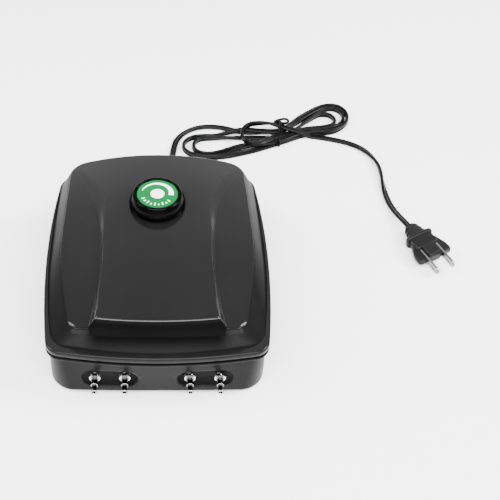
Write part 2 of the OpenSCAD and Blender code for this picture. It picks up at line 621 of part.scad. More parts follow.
base_shell();
lid_shell();
case_gasket();
foot_pads();
case_screws();
intake_cover();
intake_filter();
outlet_nozzles();
outlet_nuts();
outlet_washers();
air_hoses();
chassis();
chassis_screws();
core(row_front);  // core_front
core(row_rear);  // core_rear
bobbin(row_front);  // bobbin_front
bobbin(row_rear);  // bobbin_rear
winding(row_front);  // winding_front
winding(row_rear);  // winding_rear
chamber(-1, row_front);  // chamber_front_left
chamber(1, row_front);  // chamber_front_right
chamber(-1, row_rear);  // chamber_rear_left
chamber(1, row_rear);  // chamber_rear_right
diaphragm(-1, row_front);  // diaphragm_front_left
diaphragm(1, row_front);  // diaphragm_front_right
diaphragm(-1, row_rear);  // diaphragm_rear_left
diaphragm(1, row_rear);  // diaphragm_rear_right
valve_covers();
valve_flaps();
cover_screws();
pivot_pins();
rheostat_case();
rheostat_bushing();
rheostat_nut();
rheostat_track();
terminal_block();
lead_wires();
strain_relief();
cord_pump_side();
cord_plug_side();
cord_hank();
cord_tie();
plug_body();
plug_blades();
knob();
knob_label();
rheostat_shaft();
arm(-1, row_front);  // arm_front_left
arm(1, row_front);  // arm_front_right
arm(-1, row_rear);  // arm_rear_left
arm(1, row_rear);  // arm_rear_right
magnet(-1, row_front);  // magnet_front_left
magnet(1, row_front);  // magnet_front_right
magnet(-1, row_rear);  // magnet_rear_left
magnet(1, row_rear);  // magnet_rear_right
plunger(-1, row_front);  // plunger_front_left
plunger(1, row_front);  // plunger_front_right
plunger(-1, row_rear);  // plunger_rear_left
plunger(1, row_rear);  // plunger_rear_right
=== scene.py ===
import math
import random
from operator import itemgetter

import bmesh
import bpy
import numpy as np
from mathutils import Matrix, Vector


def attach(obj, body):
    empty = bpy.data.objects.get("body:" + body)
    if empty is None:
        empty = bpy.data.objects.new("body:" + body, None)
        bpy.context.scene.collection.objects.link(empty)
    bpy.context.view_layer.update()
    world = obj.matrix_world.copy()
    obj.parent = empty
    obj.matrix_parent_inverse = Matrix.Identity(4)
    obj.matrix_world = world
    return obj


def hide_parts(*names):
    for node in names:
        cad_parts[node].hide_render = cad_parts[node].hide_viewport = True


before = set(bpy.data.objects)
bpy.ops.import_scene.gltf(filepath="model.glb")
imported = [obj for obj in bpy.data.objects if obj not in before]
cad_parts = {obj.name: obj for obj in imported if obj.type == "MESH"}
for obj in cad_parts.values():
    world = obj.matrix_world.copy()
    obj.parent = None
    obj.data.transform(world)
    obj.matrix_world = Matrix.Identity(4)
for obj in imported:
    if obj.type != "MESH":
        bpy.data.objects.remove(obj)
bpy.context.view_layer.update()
random.seed(7)

MM = 0.001
CASE_Y = 3.0  # the case sits this far behind the origin

# ---- Camera ----

CAM_DISTANCE = 0.735
CAM_AIM_Y = 0.050

cam_data = bpy.data.cameras.new("camera")
cam = bpy.data.objects.new("camera", cam_data)
bpy.context.scene.collection.objects.link(cam)
bpy.context.scene.camera = cam
cam_data.sensor_width = 36
cam_data.lens = 72
cam_data.shift_x = 0.1852
cam.location = (0, CAM_AIM_Y - CAM_DISTANCE * math.sin(math.pi / 4), CAM_DISTANCE * math.cos(math.pi / 4))
cam.rotation_euler = (math.pi / 4, 0, 0)

# ---- Mesh helpers, all in millimetres ----


def make_object(name, points, faces, smooth=True, sharp_angle=None):
    mesh = bpy.data.meshes.new(name)
    coords = np.asarray(points, float) * MM
    mesh.from_pydata(coords.tolist(), [], faces)
    mesh.validate()
    solid = bmesh.new()
    solid.from_mesh(mesh)
    bmesh.ops.recalc_face_normals(solid, faces=solid.faces)
    solid.to_mesh(mesh)
    solid.free()
    if smooth:
        mesh.polygons.foreach_set("use_smooth", [True] * len(mesh.polygons))
        if sharp_angle:
            mesh.set_sharp_from_angle(angle=math.radians(sharp_angle))
    mesh.update()
    obj = bpy.data.objects.new(name, mesh)
    bpy.context.scene.collection.objects.link(obj)
    return obj


def in_case(points):
    moved = np.array(points, float)
    moved[:, 1] += CASE_Y
    return moved


def full_turn(steps):
    return np.linspace(0, 2 * math.pi, steps, False)


def strip_faces(rows, cols, closed=True, start=0):
    faces = []
    last = cols if closed else cols - 1
    for j in range(rows - 1):
        for i in range(last):
            k = (i + 1) % cols
            a, b = start + j * cols, start + (j + 1) * cols
            faces.append((a + i, a + k, b + k, b + i))
    return faces


def loft(rings, cap_low=True, cap_high=True, start=0):
    """Points and faces of a skin through rings with the same number of points."""
    count = len(rings[0])
    points = np.concatenate([np.asarray(r, float) for r in rings])
    faces = strip_faces(len(rings), count, True, start)
    if cap_low:
        faces.append(tuple(start + i for i in reversed(range(count))))
    if cap_high:
        top = start + (len(rings) - 1) * count
        faces.append(tuple(top + i for i in range(count)))
    return points, faces


def join_parts(parts):
    """One point list and one face list from several (points, faces)."""
    points, faces, offset = [], [], 0
    for part_points, part_faces in parts:
        points.append(np.asarray(part_points, float))
        faces += [tuple(i + offset for i in f) for f in part_faces]
        offset += len(part_points)
    return np.concatenate(points), faces


def revolve(profile, steps=48):
    """Skin of (radius, height) pairs about +Z, closed where the first and last pairs meet."""
    rings = []
    for r, z in profile:
        rings.append([(r * math.cos(t), r * math.sin(t), z) for t in full_turn(steps)])
    return loft(rings, cap_low=False, cap_high=False)


def moved(part, matrix):
    points, faces = part
    turned = np.array([list(matrix @ Vector(p)) for p in points])
    return turned, faces


def rounded(profile, radius, steps=3):
    """The profile with each inner corner replaced by a short arc."""
    out = [profile[0]]
    for a, b, c in zip(profile, profile[1:], profile[2:]):
        a, b, c = Vector(a), Vector(b), Vector(c)
        reach = min(radius, (a - b).length * 0.45, (c - b).length * 0.45)
        p = b + (a - b).normalized() * reach
        q = b + (c - b).normalized() * reach
        for k in range(steps + 1):
            t = k / steps
            out.append(tuple((1 - t) ** 2 * p + 2 * t * (1 - t) * b + t * t * q))
    out.append(profile[-1])
    return out


def smooth_step(t):
    t = np.clip(t, 0, 1)
    return t * t * (3 - 2 * t)


def soft_min(a, b, k):
    h = np.clip(k - np.abs(a - b), 0, None) / k
    return np.minimum(a, b) - h * h * k / 4


# ---- Case outlines: half width, half depth, front and back corner radius,
#      bow of the long sides in the front and the back half, bow of the short sides ----

FLANGE_LINE = (74.5, 89.5, 8, 14, 5.6, 5.8, 7)
RIM_LINE = (72.3, 87.3, 9, 9, 5.4, 5.4, 6.5)
FOOT_LINE = (71.9, 84.8, 10, 10, 6.5, 3.4, 8)
BOTTOM_LINE = (70, 84, 15, 15, 2, 2, 1)
FLOOR_LINE = (68.6, 82.6, 14, 14, 2, 2, 1)
CORNER_STEPS = 16
SIDE_STEPS = 30


def outline(line, z):
    a, b, r_front, r_back, bow_front, bow_back, bow_y = line
    points = []
    for q in range(4):
        sx = 1 if q in (0, 3) else -1
        sy = 1 if q < 2 else -1
        r = r_back if q < 2 else r_front
        for k in range(CORNER_STEPS + 1):
            t = math.radians(90 * q + 90 * k / CORNER_STEPS)
            points.append((sx * (a - r) + r * math.cos(t), sy * (b - r) + r * math.sin(t)))
        p = points[-1]
        r_next = r_back if q in (0, 3) else r_front
        e = (-p[0], p[1]) if q % 2 == 0 else (p[0], math.copysign(b - r_next, -p[1]))
        for k in range(1, SIDE_STEPS + 1):
            f = k / (SIDE_STEPS + 1)
            points.append((p[0] + f * (e[0] - p[0]), p[1] + f * (e[1] - p[1])))
    bowed = []
    for x, y in points:
        bow_x = bow_back if y > 0 else bow_front
        bowed.append((x * (1 - bow_x / a * (y / b) ** 2), y * (1 - bow_y / b * (x / a) ** 2), z))
    return bowed


def inset(line, d):
    return (line[0] - d, line[1] - d, max(line[2] - d / 2, 3), max(line[3] - d / 2, 3)) + line[4:]


def between(low, high, f):
    return tuple(a + f * (b - a) for a, b in zip(low, high))


# ---- Materials ----


def new_material(name):
    mat = bpy.data.materials.new(name)
    mat.use_nodes = True
    tree = mat.node_tree
    tree.nodes.clear()
    return mat, tree


def map_range(nodes, limits, smooth=False):
    """A Map Range node; limits are from min, from max, to min, to max."""
    node = nodes.new("ShaderNodeMapRange")
    if smooth:
        node.interpolation_type = "SMOOTHSTEP"
    for name, value in zip(("From Min", "From Max", "To Min", "To Max"), limits):
        node.inputs[name].default_value = value
    return node


def math_node(nodes, operation):
    node = nodes.new("ShaderNodeMath")
    node.operation = operation
    return node


def colour_mix(nodes):
    node = nodes.new("ShaderNodeMix")
    node.data_type = "RGBA"
    return node


def finish_material(name, colour, rough, metal=0.0, vary=0.10, rough_vary=0.06, grain=700.0, bump=0.02,
                    wear=0.12, ior=1.5, coat=0.0, streak=(1, 1, 1), specular=0.5):
    mat, tree = new_material(name)
    nodes, links = tree.nodes, tree.links
    out = nodes.new("ShaderNodeOutputMaterial")
    bsdf = nodes.new("ShaderNodeBsdfPrincipled")
    coords = nodes.new("ShaderNodeTexCoord")
    mapping = nodes.new("ShaderNodeMapping")
    mapping.inputs["Scale"].default_value = streak
    broad = nodes.new("ShaderNodeTexNoise")
    broad.inputs["Scale"].default_value = 38.0
    broad.inputs["Detail"].default_value = 4.0
    fine = nodes.new("ShaderNodeTexNoise")
    fine.inputs["Scale"].default_value = grain
    fine.inputs["Detail"].default_value = 3.0
    ramp = map_range(nodes, (0.3, 0.7, 1.0 - vary, 1.0 + vary))
    tone = colour_mix(nodes)
    tone.blend_type = "MULTIPLY"
    tone.inputs["Factor"].default_value = 1.0
    tone.inputs["A"].default_value = (*colour, 1)
    geometry = nodes.new("ShaderNodeNewGeometry")
    edge = map_range(nodes, (0.53, 0.62, 0.0, wear))
    worn = colour_mix(nodes)
    lift = [min(1.0, c * 1.5 + 0.03) for c in colour]
    worn.inputs["B"].default_value = (*lift, 1)
    roughness = map_range(nodes, (0.25, 0.75, max(0.02, rough - rough_vary), min(1.0, rough + rough_vary)))
    relief = nodes.new("ShaderNodeBump")
    relief.inputs["Strength"].default_value = bump
    relief.inputs["Distance"].default_value = 0.0002
    links.new(coords.outputs["Object"], mapping.inputs["Vector"])
    links.new(mapping.outputs["Vector"], broad.inputs["Vector"])
    links.new(mapping.outputs["Vector"], fine.inputs["Vector"])
    links.new(broad.outputs["Fac"], ramp.inputs["Value"])
    links.new(ramp.outputs["Result"], tone.inputs["B"])
    links.new(geometry.outputs["Pointiness"], edge.inputs["Value"])
    links.new(edge.outputs["Result"], worn.inputs["Factor"])
    links.new(tone.outputs["Result"], worn.inputs["A"])
    links.new(worn.outputs["Result"], bsdf.inputs["Base Color"])
    links.new(broad.outputs["Fac"], roughness.inputs["Value"])
    links.new(roughness.outputs["Result"], bsdf.inputs["Roughness"])
    links.new(fine.outputs["Fac"], relief.inputs["Height"])
    links.new(relief.outputs["Normal"], bsdf.inputs["Normal"])
    bsdf.inputs["Metallic"].default_value = metal
    bsdf.inputs["IOR"].default_value = ior
    bsdf.inputs["Specular IOR Level"].default_value = specular
    bsdf.inputs["Coat Weight"].default_value = coat
    bsdf.inputs["Coat Roughness"].default_value = 0.05
    links.new(bsdf.outputs["BSDF"], out.inputs["Surface"])
    return mat


lid_plastic = finish_material("lid_plastic", (0.0045, 0.0045, 0.0046), 0.12, vary=0.08, rough_vary=0.03,
                              bump=0.012, specular=0.2)
crease_plastic = finish_material("crease_plastic", (0.0045, 0.0045, 0.0046), 0.36, vary=0.08, rough_vary=0.03,
                                 bump=0.012, specular=0.2)
# Painted shade: darker, less reflective copies of the lid plastic for its walls, the darkest for the front
# wall under the round edge, standing in for how light falls on them
side_plastic_shaded = finish_material("side_plastic_shaded", (0.005, 0.005, 0.0051), 0.2, vary=0.08, rough_vary=0.04,
                               bump=0.02, wear=0.05, specular=0.0016)
front_plastic_shaded = finish_material("front_plastic_shaded", (0.005, 0.005, 0.0051), 0.2, vary=0.08, rough_vary=0.04,
                                bump=0.02, wear=0.05, specular=0.07)
shade_plastic = finish_material("shade_plastic", (0.0019, 0.0019, 0.0019), 0.2, vary=0.08, bump=0.02,
                                wear=0.0,
                                specular=0.01)
base_plastic = finish_material("base_plastic", (0.002, 0.002, 0.00205), 0.34, vary=0.08, rough_vary=0.04,
                               bump=0.03, specular=0.06)
# Painted shade for the inside of the outlet recesses.
recess_shade = finish_material("recess_shade", (0.0015, 0.0015, 0.0015), 0.5, bump=0.05, wear=0.0,
                               specular=0.04)
knob_plastic = finish_material("knob_plastic", (0.0006, 0.0006, 0.0006), 0.12, bump=0.012, wear=0.25,
                               specular=0.03)
rubber = finish_material("rubber", (0.004, 0.004, 0.004), 0.6, bump=0.08, wear=0.05, specular=0.2)
gasket_rubber = finish_material("gasket_rubber", (0.0015, 0.0015, 0.0015), 0.5, bump=0.06, wear=0.02,
                                specular=0.1)
cord_vinyl = finish_material("cord_vinyl", (0.0012, 0.0012, 0.00125), 0.28, vary=0.12, bump=0.05, wear=0.03,
                             specular=0.10)
plug_vinyl = finish_material("plug_vinyl", (0.0045, 0.0045, 0.0045), 0.40, vary=0.12, bump=0.10, wear=0.10,
                             specular=0.12)
tie_wire_look = finish_material("tie_wire_look", (0.001, 0.001, 0.001), 0.36, bump=0.05, wear=0.0,
                                specular=0.05)
chrome = finish_material("chrome", (0.6, 0.6, 0.605), 0.14, metal=1.0, vary=0.05, bump=0.03, wear=0.3)
dull_chrome = finish_material("dull_chrome", (0.4, 0.4, 0.402), 0.12, metal=1.0, vary=0.05, bump=0.03,
                              wear=0.3)
# Chrome painted near black: a painted reflection of the dark recess on the nozzle stems, and painted shade on
# the washers behind the nuts.
chrome_painted_dark = finish_material("chrome_painted_dark", (0.035, 0.035, 0.036), 0.1, metal=1.0, vary=0.05, bump=0.03,
                              wear=0.3)
blade_metal = finish_material("blade_metal", (0.22, 0.22, 0.215), 0.3, metal=1.0, vary=0.12, bump=0.05,
                              wear=0.05)
zinc = finish_material("zinc", (0.62, 0.63, 0.66), 0.3, metal=1.0, vary=0.08, bump=0.06, wear=0.2)
steel_sheets = finish_material("steel_sheets", (0.30, 0.31, 0.33), 0.4, metal=1.0, vary=0.12, bump=0.1)
alloy = finish_material("alloy", (0.60, 0.60, 0.61), 0.38, metal=1.0, vary=0.08, bump=0.08)
brass = finish_material("brass", (0.62, 0.46, 0.18), 0.28, metal=1.0, vary=0.08, bump=0.05)
copper = finish_material("copper", (0.58, 0.24, 0.09), 0.32, metal=1.0, vary=0.12, bump=0.12,
                         streak=(1, 6, 6))
ferrite = finish_material("ferrite", (0.06, 0.06, 0.065), 0.55, bump=0.15, vary=0.15)
nylon = finish_material("nylon", (0.62, 0.58, 0.48), 0.45, bump=0.05)
white_nylon = finish_material("white_nylon", (0.66, 0.66, 0.64), 0.42, bump=0.05)
grey_plastic = finish_material("grey_plastic", (0.05, 0.052, 0.056), 0.4, bump=0.06)
pale_plastic = finish_material("pale_plastic", (0.55, 0.56, 0.55), 0.42, bump=0.05)
felt = finish_material("felt", (0.62, 0.61, 0.58), 0.9, bump=0.6, grain=1600.0, vary=0.12)
resin_board = finish_material("resin_board", (0.16, 0.07, 0.03), 0.5, bump=0.05)
valve_red = finish_material("valve_red", (0.28, 0.05, 0.03), 0.5, bump=0.05)
hose_vinyl = finish_material("hose_vinyl", (0.45, 0.46, 0.44), 0.3, bump=0.03)
green_print = finish_material("green_print", (0.0, 0.095, 0.022), 0.45, vary=0.05, bump=0.02, wear=0.0,
                              specular=0.0)
white_print = finish_material("white_print", (0.86, 0.86, 0.86), 0.35, vary=0.03, bump=0.02, wear=0.0)


def dress(obj, material):
    obj.data.materials.clear()
    obj.data.materials.append(material)
    return obj


# ---- Mains lead ----

CORD_W = 5.2
CORD_T = 2.6
LIE = CORD_T / 2
EDGE = CORD_W / 2
RELIEF_END = 109.5
PLUG_AT = (187.5, 63.1, 7)
PLUG_TURN = -67
PLUG_ROLL = 10

# Each point: x, y, z, roll of the flat lead in degrees (0 lies flat, 90 stands on its edge)
FROM_PUMP = [(10, 109.5, 14, 0), (10, 116, 13.6, 0), (10, 123, 11.5, 0), (10, 130, 8, 0), (10, 137, 4.5, 0),
             (11, 144, 2.2, 0), (12, 151, LIE, 0), (13, 160, LIE, 0), (15, 171, 1.5, 8), (20, 180, 1.7, 14),
             (28, 187, 1.7, 14), (38, 191, 1.6, 10), (49, 191, LIE, 0), (60, 188, LIE, 0), (67, 185, LIE, 0)]
INTO_TIE_1 = [(78, 183.6, LIE, 0), (90, 184.6, 1.5, 10), (101, 186, 2, 25)]
RIGHT_OUTER_A = [(106, 189.3, 2.3, 40), (111.5, 194.2, 2.5, 60), (118.5, 201.2, EDGE, 75),
                 (127, 208.3, EDGE, 85), (135.3, 214.4, EDGE, 88), (142.5, 217.8, EDGE, 88),
                 (149.5, 218.5, EDGE, 88), (155.3, 215.8, EDGE, 88), (159, 210.3, EDGE, 88),
                 (160.1, 203.4, EDGE, 88), (158.7, 196.6, EDGE, 88), (154.4, 189.8, EDGE, 88),
                 (147.5, 184.4, EDGE, 86), (139, 181.9, EDGE, 80), (129, 180.9, EDGE, 70),
                 (120.5, 179.6, 2.3, 45), (112, 176, 1.6, 15), (106, 172.8, LIE, 0), (101, 170.5, LIE, 0)]
LEFT_OUTER = [(92, 166.3, LIE, 0), (83.6, 162.3, LIE, 0), (75, 158.8, 1.5, 12), (67.6, 156.2, 1.9, 30),
              (60, 153.4, 2.4, 55), (52, 151.2, EDGE, 75), (45.2, 150.2, EDGE, 82), (37, 150.6, EDGE, 85),
              (30, 152.3, EDGE, 86), (24.6, 155.8, EDGE, 88), (21.4, 161, EDGE, 88), (21.6, 167.6, EDGE, 88),
              (25.6, 173.3, EDGE, 86), (32.6, 176.6, EDGE, 80), (42, 177.8, 2.4, 60), (51.3, 179.8, 2.3, 30),
              (61.7, 183, 2.9, 8), (71, 184.3, 3.9, 0), (80, 183.2, 3.9, 0), (90, 182.2, 3.9, 0),
              (101, 181.5, 3.9, 0)]
RIGHT_OUTER_B = [(107, 185.6, 3.9, 20), (113.6, 191.2, 3.2, 50), (121, 198.2, 2.8, 70),
                 (129, 205.2, EDGE, 86), (136.8, 211, EDGE, 88), (143, 214.2, EDGE, 88),
                 (148.8, 214.8, EDGE, 88), (153.2, 212.4, EDGE, 88), (156, 208, EDGE, 88),
                 (156.7, 202.6, EDGE, 88), (155.2, 197, EDGE, 88), (151.5, 191.5, EDGE, 88),
                 (145.6, 187.4, EDGE, 86), (137.5, 184.9, EDGE, 82), (128.5, 183.7, 2.8, 65),
                 (120, 181.4, 3.4, 35), (112, 177.2, 3.8, 8), (106, 173.2, 3.9, 0), (101, 170.5, 3.9, 0)]
LEFT_INNER = [(92, 167.3, 3.9, 0), (84, 165.6, 3.7, 0), (76, 165, 3.2, 10), (68.3, 163.6, 2.8, 35),
              (60, 160.2, EDGE, 65), (52, 156.6, EDGE, 80), (45, 154.2, EDGE, 86), (38.4, 153.9, EDGE, 88),
              (33, 156, EDGE, 88), (29.8, 160.4, EDGE, 88), (29.4, 165.8, EDGE, 88), (31.6, 170.6, EDGE, 88),
              (36.5, 173.8, EDGE, 86), (45, 174.6, EDGE, 78), (55, 175.4, 2.4, 50), (65, 176.2, 1.8, 20),
              (76, 176.4, LIE, 0), (88, 176.2, LIE, 0), (101, 176, LIE, 0)]
RIGHT_INNER = [(107, 178.6, LIE, 0), (113.4, 185, 2, 30), (121, 192.7, 2.5, 60), (128.4, 199.5, EDGE, 82),
               (134.6, 204.9, EDGE, 88), (139.8, 207, EDGE, 88), (144.8, 205.6, EDGE, 88),
               (148.2, 201.4, EDGE, 88), (148.9, 196, EDGE, 88), (146.6, 191.9, EDGE, 88),
               (142, 189.6, EDGE, 85), (135, 187.7, EDGE, 80), (127.5, 186.2, 2.9, 55),
               (119, 183.4, 3.4, 25), (110, 179, 3.9, 5), (101, 176, 3.9, 0)]
SMALL_RING = [(94, 172, 4.8, 20), (87, 166.4, 5.6, 50), (80.5, 163, 6.2, 75), (74.5, 163.4, 6.8, 88),
              (70.2, 167.3, 7.4, 90), (68.9, 173.4, 8, 90), (70.8, 179.8, 8.6, 90), (75.8, 184.6, 9, 88),
              (82.2, 186.2, 9, 78), (89, 186.6, 8.9, 55), (95, 186, 8.8, 25), (101, 184, 8, 0)]
TO_PLUG = [(107.5, 181.8, 7, 0), (114, 180.2, 6, 0), (120.5, 179.1, 3.9, 0), (127, 178.5, LIE, 0),
           (134, 177, LIE, 0), (142, 175, LIE, 0), (151, 172, LIE, 0), (160, 167.5, LIE, 4),
           (168, 160.5, 1.6, 14), (173.3, 151, 2.1, 40), (176.3, 141, EDGE, 70), (177, 130, EDGE, 84),
           (176.7, 119, 2.3, 60), (176.8, 108, 1.9, 30), (177.8, 97, 2.1, 14), (179.6, 88, 3, 10),
           (182, 79, 4.6, 10), (184.9, 70.5, 6.2, 10), (187.5, 63.1, 7, 10), (188.9, 59.6, 7, 10)]


def catmull(points, spacing):
    p = np.asarray(points, float)
    out = []
    for i in range(len(p) - 1):
        a, b, c, d = p[max(i - 1, 0)], p[i], p[i + 1], p[min(i + 2, len(p) - 1)]
        steps = max(2, int(round(np.linalg.norm((c - b)[:3]) / spacing)))
        for s in range(steps):
            t = s / steps
            out.append(0.5 * (2 * b + (c - a) * t + (2 * a - 5 * b + 4 * c - d) * t * t
                              + (3 * b - 3 * c + d - a) * t ** 3))
    out.append(p[-1])
    return np.array(out)


def relaxed(route, rounds):
    """The route with small kinks evened out, and its ends kept."""
    r = route.copy()
    for _ in range(rounds):
        r[1:-1] = 0.25 * r[:-2] + 0.5 * r[1:-1] + 0.25 * r[2:]
    return r


def twin_section():
    """Two round cores side by side with a groove between them."""
    r = CORD_T / 2
    lobe = [math.radians(a) for a in np.linspace(-128, 128, 12)]
    right = [(r + r * math.cos(t), r * math.sin(t)) for t in lobe]
    left = [(-x, -y) for x, y in right]
    groove = 0.62 * r
    return right + [(0, groove)] + left + [(0, -groove)]


def sweep(route, section, ends=True):
    rings = []
    for i, p in enumerate(route):
        heading = route[min(i + 1, len(route) - 1)][:3] - route[max(i - 1, 0)][:3]
        heading = heading / np.linalg.norm(heading)
        side = np.cross(heading, (0, 0, 1.0))
        side = side / np.linalg.norm(side)
        up = np.cross(side, heading)
        roll = math.radians(p[3]) if len(p) > 3 else 0.0
        wide = side * math.cos(roll) + up * math.sin(roll)
        thin = -side * math.sin(roll) + up * math.cos(roll)
        rings.append([p[:3] + wide * x + thin * y for x, y in section])
    return loft(rings, cap_low=ends, cap_high=ends)


cord_points = (FROM_PUMP + INTO_TIE_1 + RIGHT_OUTER_A + LEFT_OUTER + RIGHT_OUTER_B + LEFT_INNER + RIGHT_INNER
               + SMALL_RING + TO_PLUG)
cord_route = relaxed(catmull(cord_points, 1.3), 6)
lowest = LIE * (1 + np.abs(np.sin(np.radians(cord_route[:, 3])))) + 0.02
cord_route[:, 2] = np.maximum(cord_route[:, 2], lowest)
cord_points_mesh, cord_faces = sweep(cord_route, twin_section())
cord = make_object("mains_cord", in_case(cord_points_mesh), cord_faces)
dress(cord, cord_vinyl)
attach(cord, "case")
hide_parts("cord_pump_side", "cord_hank", "cord_plug_side")
cord_path = in_case(cord_route[:, :3]) * MM

# ---- Plug ----

to_plug = (Matrix.Translation((PLUG_AT[0], PLUG_AT[1] + CASE_Y, PLUG_AT[2]))
           @ Matrix.Rotation(math.radians(PLUG_TURN), 4, "Z")
           @ Matrix.Rotation(math.radians(PLUG_ROLL), 4, "X"))


def box_ring(x, w, h, power, count=48):
    ring = []
    for k in range(count):
        t = 2 * math.pi * (k + 0.5) / count
        c, s = math.cos(t), math.sin(t)
        ring.append((x, w / 2 * math.copysign(abs(c) ** (2 / power), c),
                     h / 2 * math.copysign(abs(s) ** (2 / power), s)))
    return ring


def box_loft(stations, power):
    return loft([box_ring(x, w, h, power) for x, w, h in stations])


def rib(x, first, pitch, count, width):
    t = (x - first) / pitch
    k = round(t)
    if k < 0 or k >= count:
        return 0.0
    return float(1 - smooth_step((abs(t - k) * pitch - width / 2 + 0.35) / 0.7))


barrel = []
for x in np.linspace(-1.0, 10.2, 72):
    f = max(0.0, x) / 10.0
    bulge = rib(x, 1.4, 3.2, 3, 1.9)
    barrel.append((x, 7.8 + 5.4 * f + 2.4 * bulge, 7.4 + 1.4 * f + 1.7 * bulge))
collar = [(9.9, 19.0, 9.4), (10.1, 20.2, 10.6), (10.6, 20.9, 11.2), (11.4, 21, 11.4), (12.2, 20.9, 11.2),
          (12.8, 20.2, 10.6), (13.1, 19.2, 9.6)]
body = [(12.5, 17.0, 9.4), (15, 17.2, 9.8), (19, 17.5, 10), (21, 17.6, 10), (22.4, 17.4, 9.8),
        (23.1, 16.8, 9.2), (23.3, 15.6, 8.2)]
wings = [(13.6, 14.5, 6.8), (14.6, 16.6, 7.4), (16.2, 18.4, 7.8), (18.6, 20.8, 7.6), (20.8, 22.6, 6.8),
         (22.6, 24.2, 5.9), (24.6, 25.7, 5.7), (27.2, 26.8, 5.6), (29.6, 27.0, 5.4), (31.4, 26.6, 5.1),
         (32.4, 25.8, 4.7), (32.8, 24.6, 4.2)]
nose = [(22, 9.8, 9.6), (31.2, 9.6, 9.2), (32.2, 9.0, 8.6), (32.5, 8.4, 8.0)]
plug_parts = [box_loft(barrel, 2.6), box_loft(collar, 5.0), box_loft(body, 7.0), box_loft(wings, 5.0),
              box_loft(nose, 8.0)]
plug_points, plug_faces = join_parts(plug_parts)
plug = make_object("plug", moved((plug_points, plug_faces), to_plug)[0], plug_faces, sharp_angle=50)
dress(plug, plug_vinyl)
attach(plug, "case")
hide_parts("plug_body")

# ---- Tie: a plastic-coated wire wound once round the bundle, its ends twisted into a small ring ----

TIE_AT = (100.3, 176.4)
TIE_TURN = -5


def round_section(r, count=12):
    return [(r * math.cos(t), r * math.sin(t)) for t in full_turn(count)]


def tube(points, r, spacing=0.6):
    route = relaxed(catmull([tuple(p) + (0,) for p in points], spacing), 3)
    rings, up = [], np.array((0.0, 0.0, 1.0))
    for i, p in enumerate(route):
        heading = route[min(i + 1, len(route) - 1)][:3] - route[max(i - 1, 0)][:3]
        heading = heading / np.linalg.norm(heading)
        up = up - heading * up.dot(heading)
        if np.linalg.norm(up) < 0.1:
            up = np.cross(heading, (1.0, 0, 0))
        up = up / np.linalg.norm(up)
        side = np.cross(heading, up)
        rings.append([p[:3] + side * x + up * y for x, y in round_section(r)])
    return loft(rings)


def tie_point(along, across, z):
    a = math.radians(TIE_TURN)
    return (TIE_AT[0] + along * math.cos(a) - across * math.sin(a),
            TIE_AT[1] + along * math.sin(a) + across * math.cos(a), z)


tie_loop = [tie_point(0.4, 11.5, 9.4), tie_point(0.5, 6, 10.5), tie_point(0.3, 0, 10.2),
            tie_point(0, -6, 8.6), tie_point(0, -10.4, 5.6), tie_point(0, -11.2, 2.8),
            tie_point(0, -9.6, 1.3), tie_point(0, 0, 1.3), tie_point(0, 11.6, 1.3), tie_point(0, 13.6, 3.0),
            tie_point(0, 13.8, 6.5), tie_point(-0.6, 12.4, 9.2), tie_point(-1.8, 11, 10)]
ring_at = tie_point(1.5, 12.4, 9.6)
tie_ring = []
for k in range(0, 400, 30):
    t = math.radians(k - 100)
    tie_ring.append((ring_at[0] + 5.6 * math.cos(t), ring_at[1] + 2.9 * math.sin(t),
                     ring_at[2] + 0.6 * math.sin(2 * t) - 0.012 * (k / 30) ** 2))
tie_points, tie_faces = join_parts([tube(tie_loop, 1.0), tube(tie_ring, 1.05)])
tie = make_object("cord_tie_wire", in_case(tie_points), tie_faces)
dress(tie, tie_wire_look)
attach(tie, "case")
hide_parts("cord_tie")

# ---- Base ----

FOOT_H = 3.0
SEAM_Z = 38.0
RIM_Z = 34.3
GASKET_Z = 36.3
LEDGE_Z = 42.0
PAIR_X = 30.0
PAIR_GAP = 19.0
NOZZLE_Z = 17.0
POCKET_R = 8.0
POCKET_FLOOR = -82.0
CASE_SCREWS = (54, 66)
FOOT_PADS = (44, 60)
INTAKE_Y = -66.0


def wall_y(x, z):
    """Where the front wall is at that x and height."""
    f = (z - FOOT_H - 1.5) / (RIM_Z - 0.4 - FOOT_H - 1.5)
    a, b, bow = itemgetter(0, 1, 6)(between(BOTTOM_LINE, RIM_LINE, f))
    return -b * (1 - bow / b * (x / a) ** 2)


base_rings = []
for k in range(5):
    t = math.pi / 2 * k / 4
    f = math.sin(t)
    base_rings.append(outline(between(FLOOR_LINE, BOTTOM_LINE, f), FOOT_H + 1.5 * (1 - math.cos(t))))
for k in range(1, 25):
    f = k / 24
    base_rings.append(outline(between(BOTTOM_LINE, RIM_LINE, f),
                              FOOT_H + 1.5 + f * (RIM_Z - 0.4 - FOOT_H - 1.5)))
base_rings.append(outline(inset(RIM_LINE, 0.25), RIM_Z - 0.05))
base_rings.append(outline(inset(FLANGE_LINE, 0.9), RIM_Z))
base_rings.append(outline(inset(FLANGE_LINE, 0.2), RIM_Z + 0.25))
base_rings.append(outline(FLANGE_LINE, RIM_Z + 0.7))
base_rings.append(outline(FLANGE_LINE, GASKET_Z - 0.6))
base_rings.append(outline(inset(FLANGE_LINE, 0.2), GASKET_Z - 0.15))
base_rings.append(outline(inset(FLANGE_LINE, 0.8), GASKET_Z))
base_rings.append(outline(inset(FLANGE_LINE, 4), GASKET_Z))
base_points, base_faces = loft(base_rings)
base = make_object("base", in_case(base_points), base_faces, sharp_angle=40)


def stadium(cx, half_gap, r, count=24):
    points = []
    for k in range(count + 1):
        t = -math.pi / 2 + math.pi * k / count
        points.append((cx + half_gap + r * math.cos(t), NOZZLE_Z + r * math.sin(t)))
    for k in range(count + 1):
        t = math.pi / 2 + math.pi * k / count
        points.append((cx - half_gap + r * math.cos(t), NOZZLE_Z + r * math.sin(t)))
    return points


